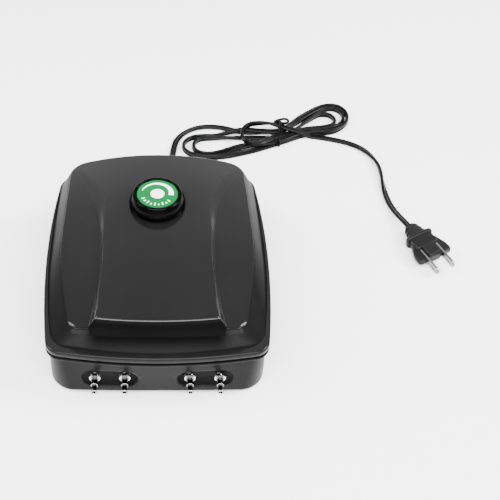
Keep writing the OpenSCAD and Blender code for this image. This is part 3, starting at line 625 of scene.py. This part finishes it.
def pocket_cutter(side):
    cx = side * PAIR_X
    rings = []
    for depth, grow in ((-4.0, 1.1), (-0.15, 1.1), (0.0, 0.8), (0.18, 0.45), (0.5, 0.18), (0.9, 0.03),
                        (1.4, 0.0)):
        rings.append([(x, wall_y(x, z) + depth, z) for x, z in stadium(cx, PAIR_GAP / 2, POCKET_R + grow)])
    rings.append([(x, POCKET_FLOOR - 0.5, z) for x, z in stadium(cx, PAIR_GAP / 2, POCKET_R - 0.15)])
    rings.append([(x, POCKET_FLOOR, z) for x, z in stadium(cx, PAIR_GAP / 2, POCKET_R - 0.6)])
    points, faces = loft(rings)
    return in_case(points), faces


def cylinder(x, y, z0, z1, r0, r1=None, steps=48):
    r1 = r0 if r1 is None else r1
    rings = [[(x + r * math.cos(t), y + r * math.sin(t), z) for t in full_turn(steps)]
             for r, z in ((r0, z0), (r1, z1))]
    return loft(rings)


def cut(obj, parts, name):
    for k, part in enumerate(parts):
        cutter = make_object(f"{name}_{k}", part[0], part[1])
        step = obj.modifiers.new(cutter.name, "BOOLEAN")
        step.operation = "DIFFERENCE"
        step.solver = "EXACT"
        step.object = cutter
        depsgraph = bpy.context.evaluated_depsgraph_get()
        solid = bpy.data.meshes.new_from_object(obj.evaluated_get(depsgraph))
        obj.modifiers.clear()
        obj.data = solid
        bpy.data.objects.remove(cutter)
    obj.data.polygons.foreach_set("use_smooth", [True] * len(obj.data.polygons))
    obj.data.set_sharp_from_angle(angle=math.radians(38))
    return obj


def pocket_shade_liner(side):
    """Painted shade: a dark, dull lining inside an outlet recess, where shade falls."""
    cx = side * PAIR_X
    rings = [[(x, wall_y(x, z) + 0.9, z) for x, z in stadium(cx, PAIR_GAP / 2, POCKET_R - 0.02)],
             [(x, wall_y(x, z) + 1.1, z) for x, z in stadium(cx, PAIR_GAP / 2, POCKET_R - 0.3)]]
    rings.append([(x, POCKET_FLOOR - 1.0, z) for x, z in stadium(cx, PAIR_GAP / 2, POCKET_R - 0.4)])
    rings.append([(x, POCKET_FLOOR - 0.3, z) for x, z in stadium(cx, PAIR_GAP / 2, POCKET_R - 1.2)])
    return loft(rings, cap_low=False)


base_cuts = [pocket_cutter(-1), pocket_cutter(1)]
for sx in (-1, 1):
    for sy in (-1, 1):
        base_cuts.append(cylinder(sx * CASE_SCREWS[0], sy * CASE_SCREWS[1] + CASE_Y, -1, FOOT_H + 5, 3.6))
        base_cuts.append(cylinder(sx * FOOT_PADS[0], sy * FOOT_PADS[1] + CASE_Y, -1, FOOT_H + 0.8, 7.1))
base_cuts.append(cylinder(0, INTAKE_Y + CASE_Y, -1, FOOT_H + 1.6, 14.2))
base_cuts.append(cylinder(0, INTAKE_Y + CASE_Y, FOOT_H + 1, FOOT_H + 5, 10.9))
cut(base, base_cuts, "base_cut")
dress(base, base_plastic)
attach(base, "case")
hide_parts("base_shell")
liner_points, liner_faces = join_parts([pocket_shade_liner(-1), pocket_shade_liner(1)])
liners = make_object("outlet_recesses", in_case(liner_points), liner_faces, sharp_angle=50)
dress(liners, recess_shade)
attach(liners, "case")

# ---- Lid ----

LID_TOP = 72.5
KNOB_Y = 18.0


def ridge(y):
    return LID_TOP - 0.001 * (y - 25) ** 2


def crease_at(y):
    behind = y + 26
    return 35.5 + np.where(behind > 0, 0.0016 * behind ** 2 + 0.000016 * behind ** 3, 0.0028 * behind ** 2)


def side_surface(x, y):
    return ridge(y) - 8.3 * (x / 58) ** 2 - 1.6 * smooth_step((72 - y) / 132)


def panel_surface(x, y):
    return ridge(y) - 8.3 * (x / 58) ** 2 * (1 - smooth_step((76 - y) / 136))


def ramp_width(y):
    return 1.8 + 4.6 * smooth_step((-46 - y) / 32) + 7.0 * smooth_step((y + 12) / 50)


def raised_at(x, y):
    """1 on the raised panel, 0 on the side panels."""
    return smooth_step((crease_at(y) + 0.8 - np.abs(x)) / ramp_width(y))


def top_surface(x, y):
    return side_surface(x, y) + (panel_surface(x, y) - side_surface(x, y)) * raised_at(x, y)


SKIRT_SLOPE = 0.47
SKIRT_FLARE = 0.43
FRONT_SLOPE = 0.42
FRONT_BLEND = 14.0
BACK_BLEND = 24.0
BROW_Y = -80.2
BROW_BOW = 7.5
BROW_BOW_AT = 74.5
BROW_ROUND = 7.0
LIP_ROUND = 0.9
BROW_WALL = 0.3
LIP_END = 51.5


def skirt_walls(x, y):
    """Heights above the ledge of the side wall and of the end wall."""
    a, b, bow_front, bow_back, bow_y = itemgetter(0, 1, 4, 5, 6)(FOOT_LINE)
    bow_x = np.where(y > 0, bow_back, bow_front)
    flat_x, flat_y = np.abs(x), np.abs(y)
    for _ in range(3):
        flat_x = np.abs(x) / (1 - bow_x / a * (flat_y / b) ** 2)
        flat_y = np.abs(y) / (1 - bow_y / b * (flat_x / a) ** 2)
    side_slope = SKIRT_SLOPE + SKIRT_FLARE * np.clip(-y / 62, 0, 1.15) ** 2
    return (a - flat_x) / side_slope, (b - flat_y) / np.where(y < 0, FRONT_SLOPE, SKIRT_SLOPE)


def skirt_surface(x, y):
    """Height of the sloping wall that rises from the foot line."""
    side, end = skirt_walls(x, y)
    return LEDGE_Z + np.where(y < 0, soft_min(side, end, FRONT_BLEND), soft_min(side, end, BACK_BLEND))


def brow_bow(x):
    """How far the front edge of the panels curves back at that x."""
    return BROW_BOW * (x / BROW_BOW_AT) ** 2 + 2.5 * (np.abs(x) / 60) ** 6


def behind_brow(x, y):
    return y - BROW_Y - brow_bow(x)


def brow_round(x, y):
    return LIP_ROUND + (BROW_ROUND - LIP_ROUND) * raised_at(x, y)


def lid_surface(x, y):
    """Top and skirt, with an upright wall and a round edge at the front of the panels."""
    top = top_surface(x, y)
    skirt = skirt_surface(x, y)
    plain = soft_min(top, skirt, 1.3)
    behind = behind_brow(x, y)
    r = brow_round(x, y)
    inside = np.clip(behind, 0, r)
    edge = top - r + np.sqrt(r ** 2 - (r - inside) ** 2)
    foot = np.minimum(skirt, edge)
    rise = np.clip(1 + behind / BROW_WALL, 0, 1)
    brow = foot + (edge - foot) * rise
    in_front = smooth_step((LIP_END + 1.5 - np.abs(x)) / 3) * smooth_step((-55 - y) / 10)
    return plain + (brow - plain) * in_front


def lid_rows():
    """Rows across the lid, close together at the front wall and at the skirts."""
    skirt_rows = np.linspace(-87.5, BROW_Y - 0.9, 26)
    wall_rows = [BROW_Y - 0.55, BROW_Y - BROW_WALL - 0.02, BROW_Y - BROW_WALL, BROW_Y - BROW_WALL / 2, BROW_Y]
    edge_rows = [BROW_Y + BROW_ROUND * (1 - math.cos(math.radians(t))) for t in range(6, 91, 6)]
    return np.concatenate([skirt_rows, wall_rows, edge_rows, np.linspace(BROW_Y + BROW_ROUND + 0.5, -62, 30),
                           np.linspace(-61.2, 66, 116), np.linspace(66.8, 88, 46)])


def edge_columns(row, bow):
    """Where the side wall meets the top, and where it meets the ledge, along a row."""
    x = np.linspace(40, 76, 721)
    y = row + bow * brow_bow(x)
    side = skirt_walls(x, y)[0]
    top_edge = x[np.argmin(np.abs(LEDGE_Z + side - side_surface(x, y)))]
    foot = x[np.argmin(np.abs(side))]
    return float(top_edge), float(foot)


def lid_grid():
    points = []
    for row in lid_rows():
        bow = float(smooth_step((-30 - row) / 35))
        inner = crease_at(row) - ramp_width(row) - 1.0
        outer = crease_at(row) + 1.8
        top_edge, foot = edge_columns(row, bow)
        half = np.concatenate([np.linspace(0, inner, 24), np.linspace(inner, outer, 13)[1:],
                               np.linspace(outer, top_edge - 1.2, 22)[1:],
                               np.linspace(top_edge - 1.2, top_edge + 1.2, 7)[1:],
                               np.linspace(top_edge + 1.2, foot - 0.5, 14)[1:],
                               np.linspace(foot - 0.5, foot + 0.7, 5)[1:]])
        x = np.concatenate([-half[::-1], half[1:]])
        y = row + bow * brow_bow(x)
        z = np.maximum(lid_surface(x, y), LEDGE_Z - 1.4)
        points.append(np.stack([x, y, z], axis=1))
    cols = len(points[0])
    rows = len(points)
    points = np.concatenate(points)
    buried = points[:, 2] < LEDGE_Z - 1.39
    faces = np.array([f for f in strip_faces(rows, cols, closed=False) if not all(buried[i] for i in f)])
    used = np.unique(faces)
    return points[used], [tuple(f) for f in np.searchsorted(used, faces).tolist()]


TOP_LOOK, SIDE_LOOK, SHADE_LOOK, FRONT_LOOK, CREASE_LOOK = 0, 1, 2, 3, 4


def lid_looks(points, faces):
    """Which copy of the lid plastic each face has: the polished top, a rougher copy on the crease ramps, and
    darker, less reflective copies on the walls and the front wall, painted shade for how light falls there.
    """
    middle = np.array([points[list(f)].mean(axis=0) for f in faces])
    x, y, z = middle.T
    side, end = skirt_walls(x, y)
    walls = np.where((side > end) & (y < 0), FRONT_LOOK, SIDE_LOOK)
    walls = np.where((side < 0.8) & (y > -50) & (side < end), TOP_LOOK, walls)
    looks = np.where(skirt_surface(x, y) < top_surface(x, y), walls, TOP_LOOK)
    raised = raised_at(x, y)
    crease = (looks == TOP_LOOK) & (raised > 0.004) & (raised < 0.996) & (y > -68) & (side > 4)
    looks = np.where(crease, CREASE_LOOK, looks)
    behind = behind_brow(x, y)
    # Painted shade: the front wall under the round edge takes the darkest copy.
    wall = (behind > -0.4) & (behind < 0.42 * brow_round(x, y)) & (np.abs(x) < LIP_END)
    return np.where(wall & (raised > 0.3), SHADE_LOOK, looks).tolist()


def paint_shade_under_brow(material):
    """Painted shade on the front skirt: dark at the foot of the front wall, clearing up a few millimetres
    lower, with its reflection turned down there too.
    """
    tree = material.node_tree
    nodes, links = tree.nodes, tree.links
    bsdf = next(n for n in nodes if n.type == "BSDF_PRINCIPLED")
    plain = bsdf.inputs["Base Color"].links[0].from_socket
    coords = nodes.new("ShaderNodeTexCoord")
    split = nodes.new("ShaderNodeSeparateXYZ")
    square = math_node(nodes, "MULTIPLY")
    wall_line = math_node(nodes, "MULTIPLY_ADD")
    wall_line.inputs[1].default_value = BROW_BOW * MM / (BROW_BOW_AT * MM) ** 2
    wall_line.inputs[2].default_value = (BROW_Y + CASE_Y) * MM
    depth = math_node(nodes, "SUBTRACT")
    lower = map_range(nodes, (SHADE_START * MM, SHADE_DEPTH * MM, 1.0, 0.0), smooth=True)
    fade_from, fade_to = (SHADE_HALF * MM) ** 2, ((SHADE_HALF + SHADE_FADE) * MM) ** 2
    aside = map_range(nodes, (fade_from, fade_to, 1.0, 0.0), smooth=True)
    both = math_node(nodes, "MULTIPLY")
    shaded = colour_mix(nodes)
    shaded.inputs["B"].default_value = (*UNDER_BROW_SHADE, 1)
    links.new(coords.outputs["Object"], split.inputs["Vector"])
    links.new(split.outputs["X"], square.inputs[0])
    links.new(split.outputs["X"], square.inputs[1])
    links.new(square.outputs["Value"], wall_line.inputs[0])
    links.new(wall_line.outputs["Value"], depth.inputs[0])
    links.new(split.outputs["Y"], depth.inputs[1])
    links.new(depth.outputs["Value"], lower.inputs["Value"])
    links.new(square.outputs["Value"], aside.inputs["Value"])
    links.new(lower.outputs["Result"], both.inputs[0])
    links.new(aside.outputs["Result"], both.inputs[1])
    links.new(both.outputs["Value"], shaded.inputs["Factor"])
    links.new(plain, shaded.inputs["A"])
    gloss = nodes.new("ShaderNodeMix")
    gloss.inputs["A"].default_value = bsdf.inputs["Specular IOR Level"].default_value
    gloss.inputs["B"].default_value = UNDER_BROW_SHADE_GLOSS
    links.new(both.outputs["Value"], gloss.inputs["Factor"])
    links.new(gloss.outputs["Result"], bsdf.inputs["Specular IOR Level"])
    links.new(shaded.outputs["Result"], bsdf.inputs["Base Color"])


# Where the painted shade under the front wall starts and fades, and its colour and reflection.
SHADE_START = 0.2
SHADE_DEPTH = 5.5
SHADE_HALF = 36
SHADE_FADE = 12
UNDER_BROW_SHADE = (0.0012, 0.0012, 0.0012)
UNDER_BROW_SHADE_GLOSS = 0.008
paint_shade_under_brow(front_plastic_shaded)
lid_points, lid_faces = lid_grid()
flange_rings = [outline(inset(FLANGE_LINE, 5), SEAM_Z), outline(inset(FLANGE_LINE, 0.35), SEAM_Z),
                outline(inset(FLANGE_LINE, 0.1), SEAM_Z + 0.1), outline(FLANGE_LINE, SEAM_Z + 0.35)]
for k in range(7):
    t = math.pi / 2 * k / 6
    flange_rings.append(outline(inset(FLANGE_LINE, 1.3 * (1 - math.cos(t))),
                                LEDGE_Z - 1.3 * (1 - math.sin(t))))
LEDGE_EDGE = (FOOT_LINE[0] + 0.35, FOOT_LINE[1] + 0.5) + FOOT_LINE[2:]
for f in (0.25, 0.5, 0.75, 0.93):
    flange_rings.append(outline(between(inset(FLANGE_LINE, 1.3), LEDGE_EDGE, f), LEDGE_Z))
flange_rings.append(outline(LEDGE_EDGE, LEDGE_Z - 0.12))
flange_rings.append(outline(inset(LEDGE_EDGE, 0.2), LEDGE_Z - 0.5))
flange_rings.append(outline(inset(LEDGE_EDGE, 0.4), LEDGE_Z - 0.9))
flange_rings.append(outline(inset(LEDGE_EDGE, 1.6), LEDGE_Z - 1.0))
flange_rings.append(outline(inset(LEDGE_EDGE, 4), LEDGE_Z - 1.0))
flange_part = loft(flange_rings, cap_low=False, cap_high=False)
all_points, all_faces = join_parts([(lid_points, lid_faces), flange_part])
lid = make_object("lid", in_case(all_points), all_faces, sharp_angle=60)
dress(lid, lid_plastic)
for extra in (side_plastic_shaded, shade_plastic, front_plastic_shaded, crease_plastic):
    lid.data.materials.append(extra)
# The flange's lower faces take the shaded front copy: painted shade as on the front skirt.
flange_looks = [TOP_LOOK if min(all_points[i][2] for i in f) > LEDGE_Z - 0.3 else FRONT_LOOK
                for f in all_faces[len(lid_faces):]]
lid.data.polygons.foreach_set("material_index", lid_looks(lid_points, lid_faces) + flange_looks)
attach(lid, "case")
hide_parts("lid_shell")

# ---- Outlets ----

TIP = 95.5
NUT_FACE = 82.1


def hex_nut_part(across, hole, height):
    """A nut with its six corners cut back to a cone at each end."""
    rings = []
    steps = 72
    for z, limit in ((0.0, 0.94), (0.35, 1.0), (height - 0.55, 1.0), (height, 0.90)):
        ring = []
        for k in range(steps):
            t = 2 * math.pi * k / steps
            within = (t + math.pi / 6) % (math.pi / 3) - math.pi / 6
            flat = across / 2 / math.cos(within)
            r = min(flat, across / 2 / math.cos(math.pi / 6) * limit)
            ring.append((r * math.cos(t), r * math.sin(t), z))
        rings.append(ring)
    for z, r in ((height, hole + 0.35), (height - 0.35, hole), (0, hole)):
        rings.append([(r * math.cos(2 * math.pi * k / steps), r * math.sin(2 * math.pi * k / steps), z)
                      for k in range(steps)])
    rings.append(rings[0])
    return loft(rings, cap_low=False, cap_high=False)


BORE = 1.2
STEM = [(BORE, 74), (2.3, 74), (2.3, 85.9), (1.75, 86.3), (1.6, 88.4), (1.6, TIP - 6.2), (1.9, TIP - 5.9),
        (1.9, TIP - 5.0), (1.55, TIP - 4.6), (1.5, TIP - 1.4), (BORE, TIP - 1.4), (BORE, 84), (BORE, 74)]
COLLAR = [(1.5, TIP - 5.7), (2.1, TIP - 5.65), (2.2, TIP - 5.5), (2.1, TIP - 5.3), (1.5, TIP - 5.25),
          (1.5, TIP - 5.7)]
TIP_RING = [(1.3, TIP - 1.6), (1.8, TIP - 1.4), (1.9, TIP - 0.9), (1.9, TIP - 0.4), (1.75, TIP - 0.05),
            (1.5, TIP), (BORE, TIP - 0.25), (BORE, TIP - 1.6), (1.3, TIP - 1.6)]


def thread_part():
    """Fine thread between the nut and the stem."""
    profile = []
    z = 84.0
    while z < 86.0:
        profile += [(2.15, z), (2.4, z + 0.2)]
        z += 0.4
    return revolve(profile, 40)


def nozzle_axes():
    for side in (-1, 1):
        for half in (-0.5, 0.5):
            yield (Matrix.Translation((side * PAIR_X + half * PAIR_GAP, CASE_Y, NOZZLE_Z))
                   @ Matrix.Rotation(math.pi / 2, 4, "X"))


nozzle_parts, nut_parts, nozzle_looks = [], [], []
for k, axis in enumerate(nozzle_axes()):
    for part, look in ((revolve(rounded(STEM, 0.2, 2), 40), 0), (thread_part(), 1),
                       (revolve(rounded(COLLAR, 0.12, 2), 40), 1),
                       (revolve(rounded(TIP_RING, 0.12, 2), 40), 1)):
        nozzle_parts.append(moved(part, axis))
        nozzle_looks += [look] * len(part[1])
    spin = Matrix.Rotation(math.radians(28 + 7 * k), 4, "Z")
    nut_parts.append(moved(hex_nut_part(6.7, 2.35, 2.3), axis @ Matrix.Translation((0, 0, NUT_FACE)) @ spin))
nozzles = make_object("nozzles", *join_parts(nozzle_parts), sharp_angle=45)
nuts = make_object("nozzle_nuts", *join_parts(nut_parts), sharp_angle=25)
for piece, node, metal in ((nozzles, "outlet_nozzles", chrome_painted_dark), (nuts, "outlet_nuts", chrome)):
    dress(piece, metal)
    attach(piece, "case")
    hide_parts(node)
nozzles.data.materials.append(dull_chrome)
nozzles.data.polygons.foreach_set("material_index", nozzle_looks)

# ---- Knob ----

KNOB_R = 18.8
KNOB_Z = 72.9
KNOB_H = 9.0
LABEL_R = 13.5
LABEL_Z = KNOB_Z + KNOB_H - 0.6

knob_profile = [(KNOB_R - 4, KNOB_Z), (KNOB_R - 0.6, KNOB_Z), (KNOB_R, KNOB_Z + 0.5),
                (KNOB_R - 0.25, KNOB_Z + 2.6), (KNOB_R - 1.3, KNOB_Z + 6), (KNOB_R - 2.6, KNOB_Z + 8.4),
                (KNOB_R - 3.3, KNOB_Z + KNOB_H), (KNOB_R - 4.5, KNOB_Z + KNOB_H),
                (KNOB_R - 5.1, KNOB_Z + KNOB_H - 1.1), (3.0, KNOB_Z + KNOB_H - 1.1)]
knob = make_object("knob_cap", *moved(revolve(rounded(knob_profile, 0.6, 4), 128),
                                      Matrix.Translation((0, KNOB_Y + CASE_Y, 0))), sharp_angle=50)
dress(knob, knob_plastic)
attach(knob, "knob_assembly")
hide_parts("knob")


def disc(r, z, thick):
    profile = [(0.01, z - thick), (r, z - thick), (r, z - 0.08), (r - 0.08, z), (0.01, z)]
    return revolve(profile, 96)


def arc_band(start, end, inner_at, outer, z, thick, steps=60):
    """A flat band about the centre whose inner radius changes along it."""
    points, faces = [], []
    for k in range(steps + 1):
        f = k / steps
        t = math.radians(start + f * (end - start))
        for r, h in ((inner_at(f), z), (outer, z), (outer, z - thick), (inner_at(f), z - thick)):
            points.append((r * math.cos(t), r * math.sin(t), h))
    for k in range(steps):
        a, b = 4 * k, 4 * k + 4
        for i in range(4):
            j = (i + 1) % 4
            faces.append((a + i, b + i, b + j, a + j))
    faces.append((3, 2, 1, 0))
    faces.append(tuple(4 * steps + i for i in range(4)))
    return points, faces


to_knob = Matrix.Translation((0, KNOB_Y + CASE_Y, 0))
label = make_object("knob_face", *moved(disc(LABEL_R, LABEL_Z, 0.5), to_knob), sharp_angle=40)
dress(label, green_print)
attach(label, "knob_assembly")
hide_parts("knob_label")

print_z = LABEL_Z + 0.07
print_parts = [disc(4.6, print_z, 0.12),
               arc_band(-8, 162, lambda f: 7.1 + 3.1 * f ** 0.75, 10.8, print_z, 0.12)]
for k in range(9):
    angle = 205 + 14 * k
    long_mark = k % 2 == 0
    reach = 9.0 if long_mark else 9.8
    width = 2.2
    print_parts.append(arc_band(angle - width, angle + width, lambda f, reach=reach: reach, 11.3, print_z,
                                0.12, 4))
marks = make_object("knob_marks", *moved(join_parts(print_parts), to_knob), sharp_angle=40)
dress(marks, white_print)
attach(marks, "knob_assembly")

# ---- Strain relief ----

relief_profile = [(2.2, 0), (3.3, 0)]
for k in range(5):
    z = 2.0 + 4 * k
    r = 3.4 + 0.07 * z
    relief_profile += [(r, z), (r + 0.9, z + 0.3), (r + 0.95, z + 1.7), (r + 0.05, z + 2.0)]
relief_profile += [(4.9, 22), (6.4, 22), (6.4, 23.6), (4.4, 23.7), (4.4, 30)]
to_relief = (Matrix.Translation((10, RELIEF_END + CASE_Y, 14)) @ Matrix.Rotation(math.pi / 2, 4, "X"))
relief = make_object("cord_relief", *moved(revolve(rounded(relief_profile, 0.35, 2), 64), to_relief),
                     sharp_angle=50)
dress(relief, rubber)
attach(relief, "case")
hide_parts("strain_relief")

# ---- CAD nodes that are shown as they are ----

LOOKS = {
    "case_gasket": gasket_rubber, "foot_pads": rubber, "case_screws": zinc, "intake_cover": grey_plastic,
    # The outlet washers take the chrome painted dark: painted shade behind the nuts.
    "intake_filter": felt, "outlet_washers": chrome_painted_dark, "air_hoses": hose_vinyl, "chassis": pale_plastic,
    "chassis_screws": zinc, "core_front": steel_sheets, "core_rear": steel_sheets, "bobbin_front": nylon,
    "bobbin_rear": nylon, "winding_front": copper, "winding_rear": copper, "valve_covers": grey_plastic,
    "valve_flaps": valve_red, "cover_screws": zinc, "pivot_pins": zinc, "rheostat_case": grey_plastic,
    "rheostat_bushing": brass, "rheostat_nut": zinc, "rheostat_track": resin_board,
    "terminal_block": white_nylon, "lead_wires": cord_vinyl, "plug_blades": blade_metal,
    "rheostat_shaft": alloy,
}
for place in ("front_left", "front_right", "rear_left", "rear_right"):
    LOOKS["chamber_" + place] = grey_plastic
    LOOKS["diaphragm_" + place] = rubber
    LOOKS["arm_" + place] = alloy
    LOOKS["magnet_" + place] = ferrite
    LOOKS["plunger_" + place] = white_nylon
SOFT_EDGES = {"plug_blades": 0.22, "outlet_washers": 0.12, "foot_pads": 0.4, "case_screws": 0.15,
              "intake_cover": 0.25, "case_gasket": 0.2}
for name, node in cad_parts.items():
    if name in LOOKS:
        dress(node, LOOKS[name])
    if name in SOFT_EDGES:
        weld = node.modifiers.new("weld", "WELD")
        weld.merge_threshold = 0.00001
        bevel = node.modifiers.new("bevel", "BEVEL")
        bevel.width = SOFT_EDGES[name] * MM
        bevel.segments = 2
        bevel.limit_method = "ANGLE"
        bevel.angle_limit = math.radians(40)

# ---- Floor and light ----

floor = make_object("floor", [(-4000, -4000, 0), (4000, -4000, 0), (4000, 4000, 0), (-4000, 4000, 0)],
                    [(0, 1, 2, 3)], smooth=False)
floor_mat, floor_tree = new_material("floor_white")
floor_out = floor_tree.nodes.new("ShaderNodeOutputMaterial")
floor_bsdf = floor_tree.nodes.new("ShaderNodeBsdfPrincipled")
floor_bsdf.inputs["Base Color"].default_value = (0.93, 0.93, 0.93, 1)
floor_bsdf.inputs["Roughness"].default_value = 0.9
floor_bsdf.inputs["Specular IOR Level"].default_value = 0.1
floor_tree.links.new(floor_bsdf.outputs["BSDF"], floor_out.inputs["Surface"])
dress(floor, floor_mat)

world = bpy.data.worlds.new("studio")
bpy.context.scene.world = world
world.use_nodes = True
SKY_LOW = 3.9
SKY_HIGH = 1.2
SKY_SIDES = 0.35
sky = world.node_tree
sky.nodes.clear()
sky_out = sky.nodes.new("ShaderNodeOutputWorld")
sky_light = sky.nodes.new("ShaderNodeBackground")
sky_coords = sky.nodes.new("ShaderNodeTexCoord")
sky_split = sky.nodes.new("ShaderNodeSeparateXYZ")
sky_fade = map_range(sky.nodes, (0.0, 1.0, SKY_LOW, SKY_HIGH))
sky.links.new(sky_coords.outputs["Generated"], sky_split.inputs["Vector"])
sky.links.new(sky_split.outputs["Z"], sky_fade.inputs["Value"])
sky_side = math_node(sky.nodes, "MULTIPLY")
sky_dim = map_range(sky.nodes, (0.0, 0.5, 1.0, SKY_SIDES))
sky_both = math_node(sky.nodes, "MULTIPLY")
sky.links.new(sky_split.outputs["X"], sky_side.inputs[0])
sky.links.new(sky_split.outputs["X"], sky_side.inputs[1])
sky.links.new(sky_side.outputs["Value"], sky_dim.inputs["Value"])
sky.links.new(sky_fade.outputs["Result"], sky_both.inputs[0])
sky.links.new(sky_dim.outputs["Result"], sky_both.inputs[1])
sky.links.new(sky_both.outputs["Value"], sky_light.inputs["Strength"])
sky.links.new(sky_light.outputs["Background"], sky_out.inputs["Surface"])


def area_light(name, location, aim, size, power):
    data = bpy.data.lights.new(name, "AREA")
    data.shape = "RECTANGLE"
    data.size, data.size_y = size
    data.energy = power
    lamp = bpy.data.objects.new(name, data)
    bpy.context.scene.collection.objects.link(lamp)
    lamp.location = location
    lamp.rotation_euler = (Vector(aim) - Vector(location)).to_track_quat("-Z", "Y").to_euler()
    return lamp


area_light("softbox_top", (0.0, -0.95, 1.5), (0.05, 0.1, 0), (1.8, 0.9), 120)
area_light("softbox_left", (-1.5, 0.0, 1.3), (0, 0.05, 0), (0.8, 1.2), 55)
area_light("softbox_right", (1.6, 0.0, 1.3), (0, 0.05, 0), (0.8, 1.2), 95)
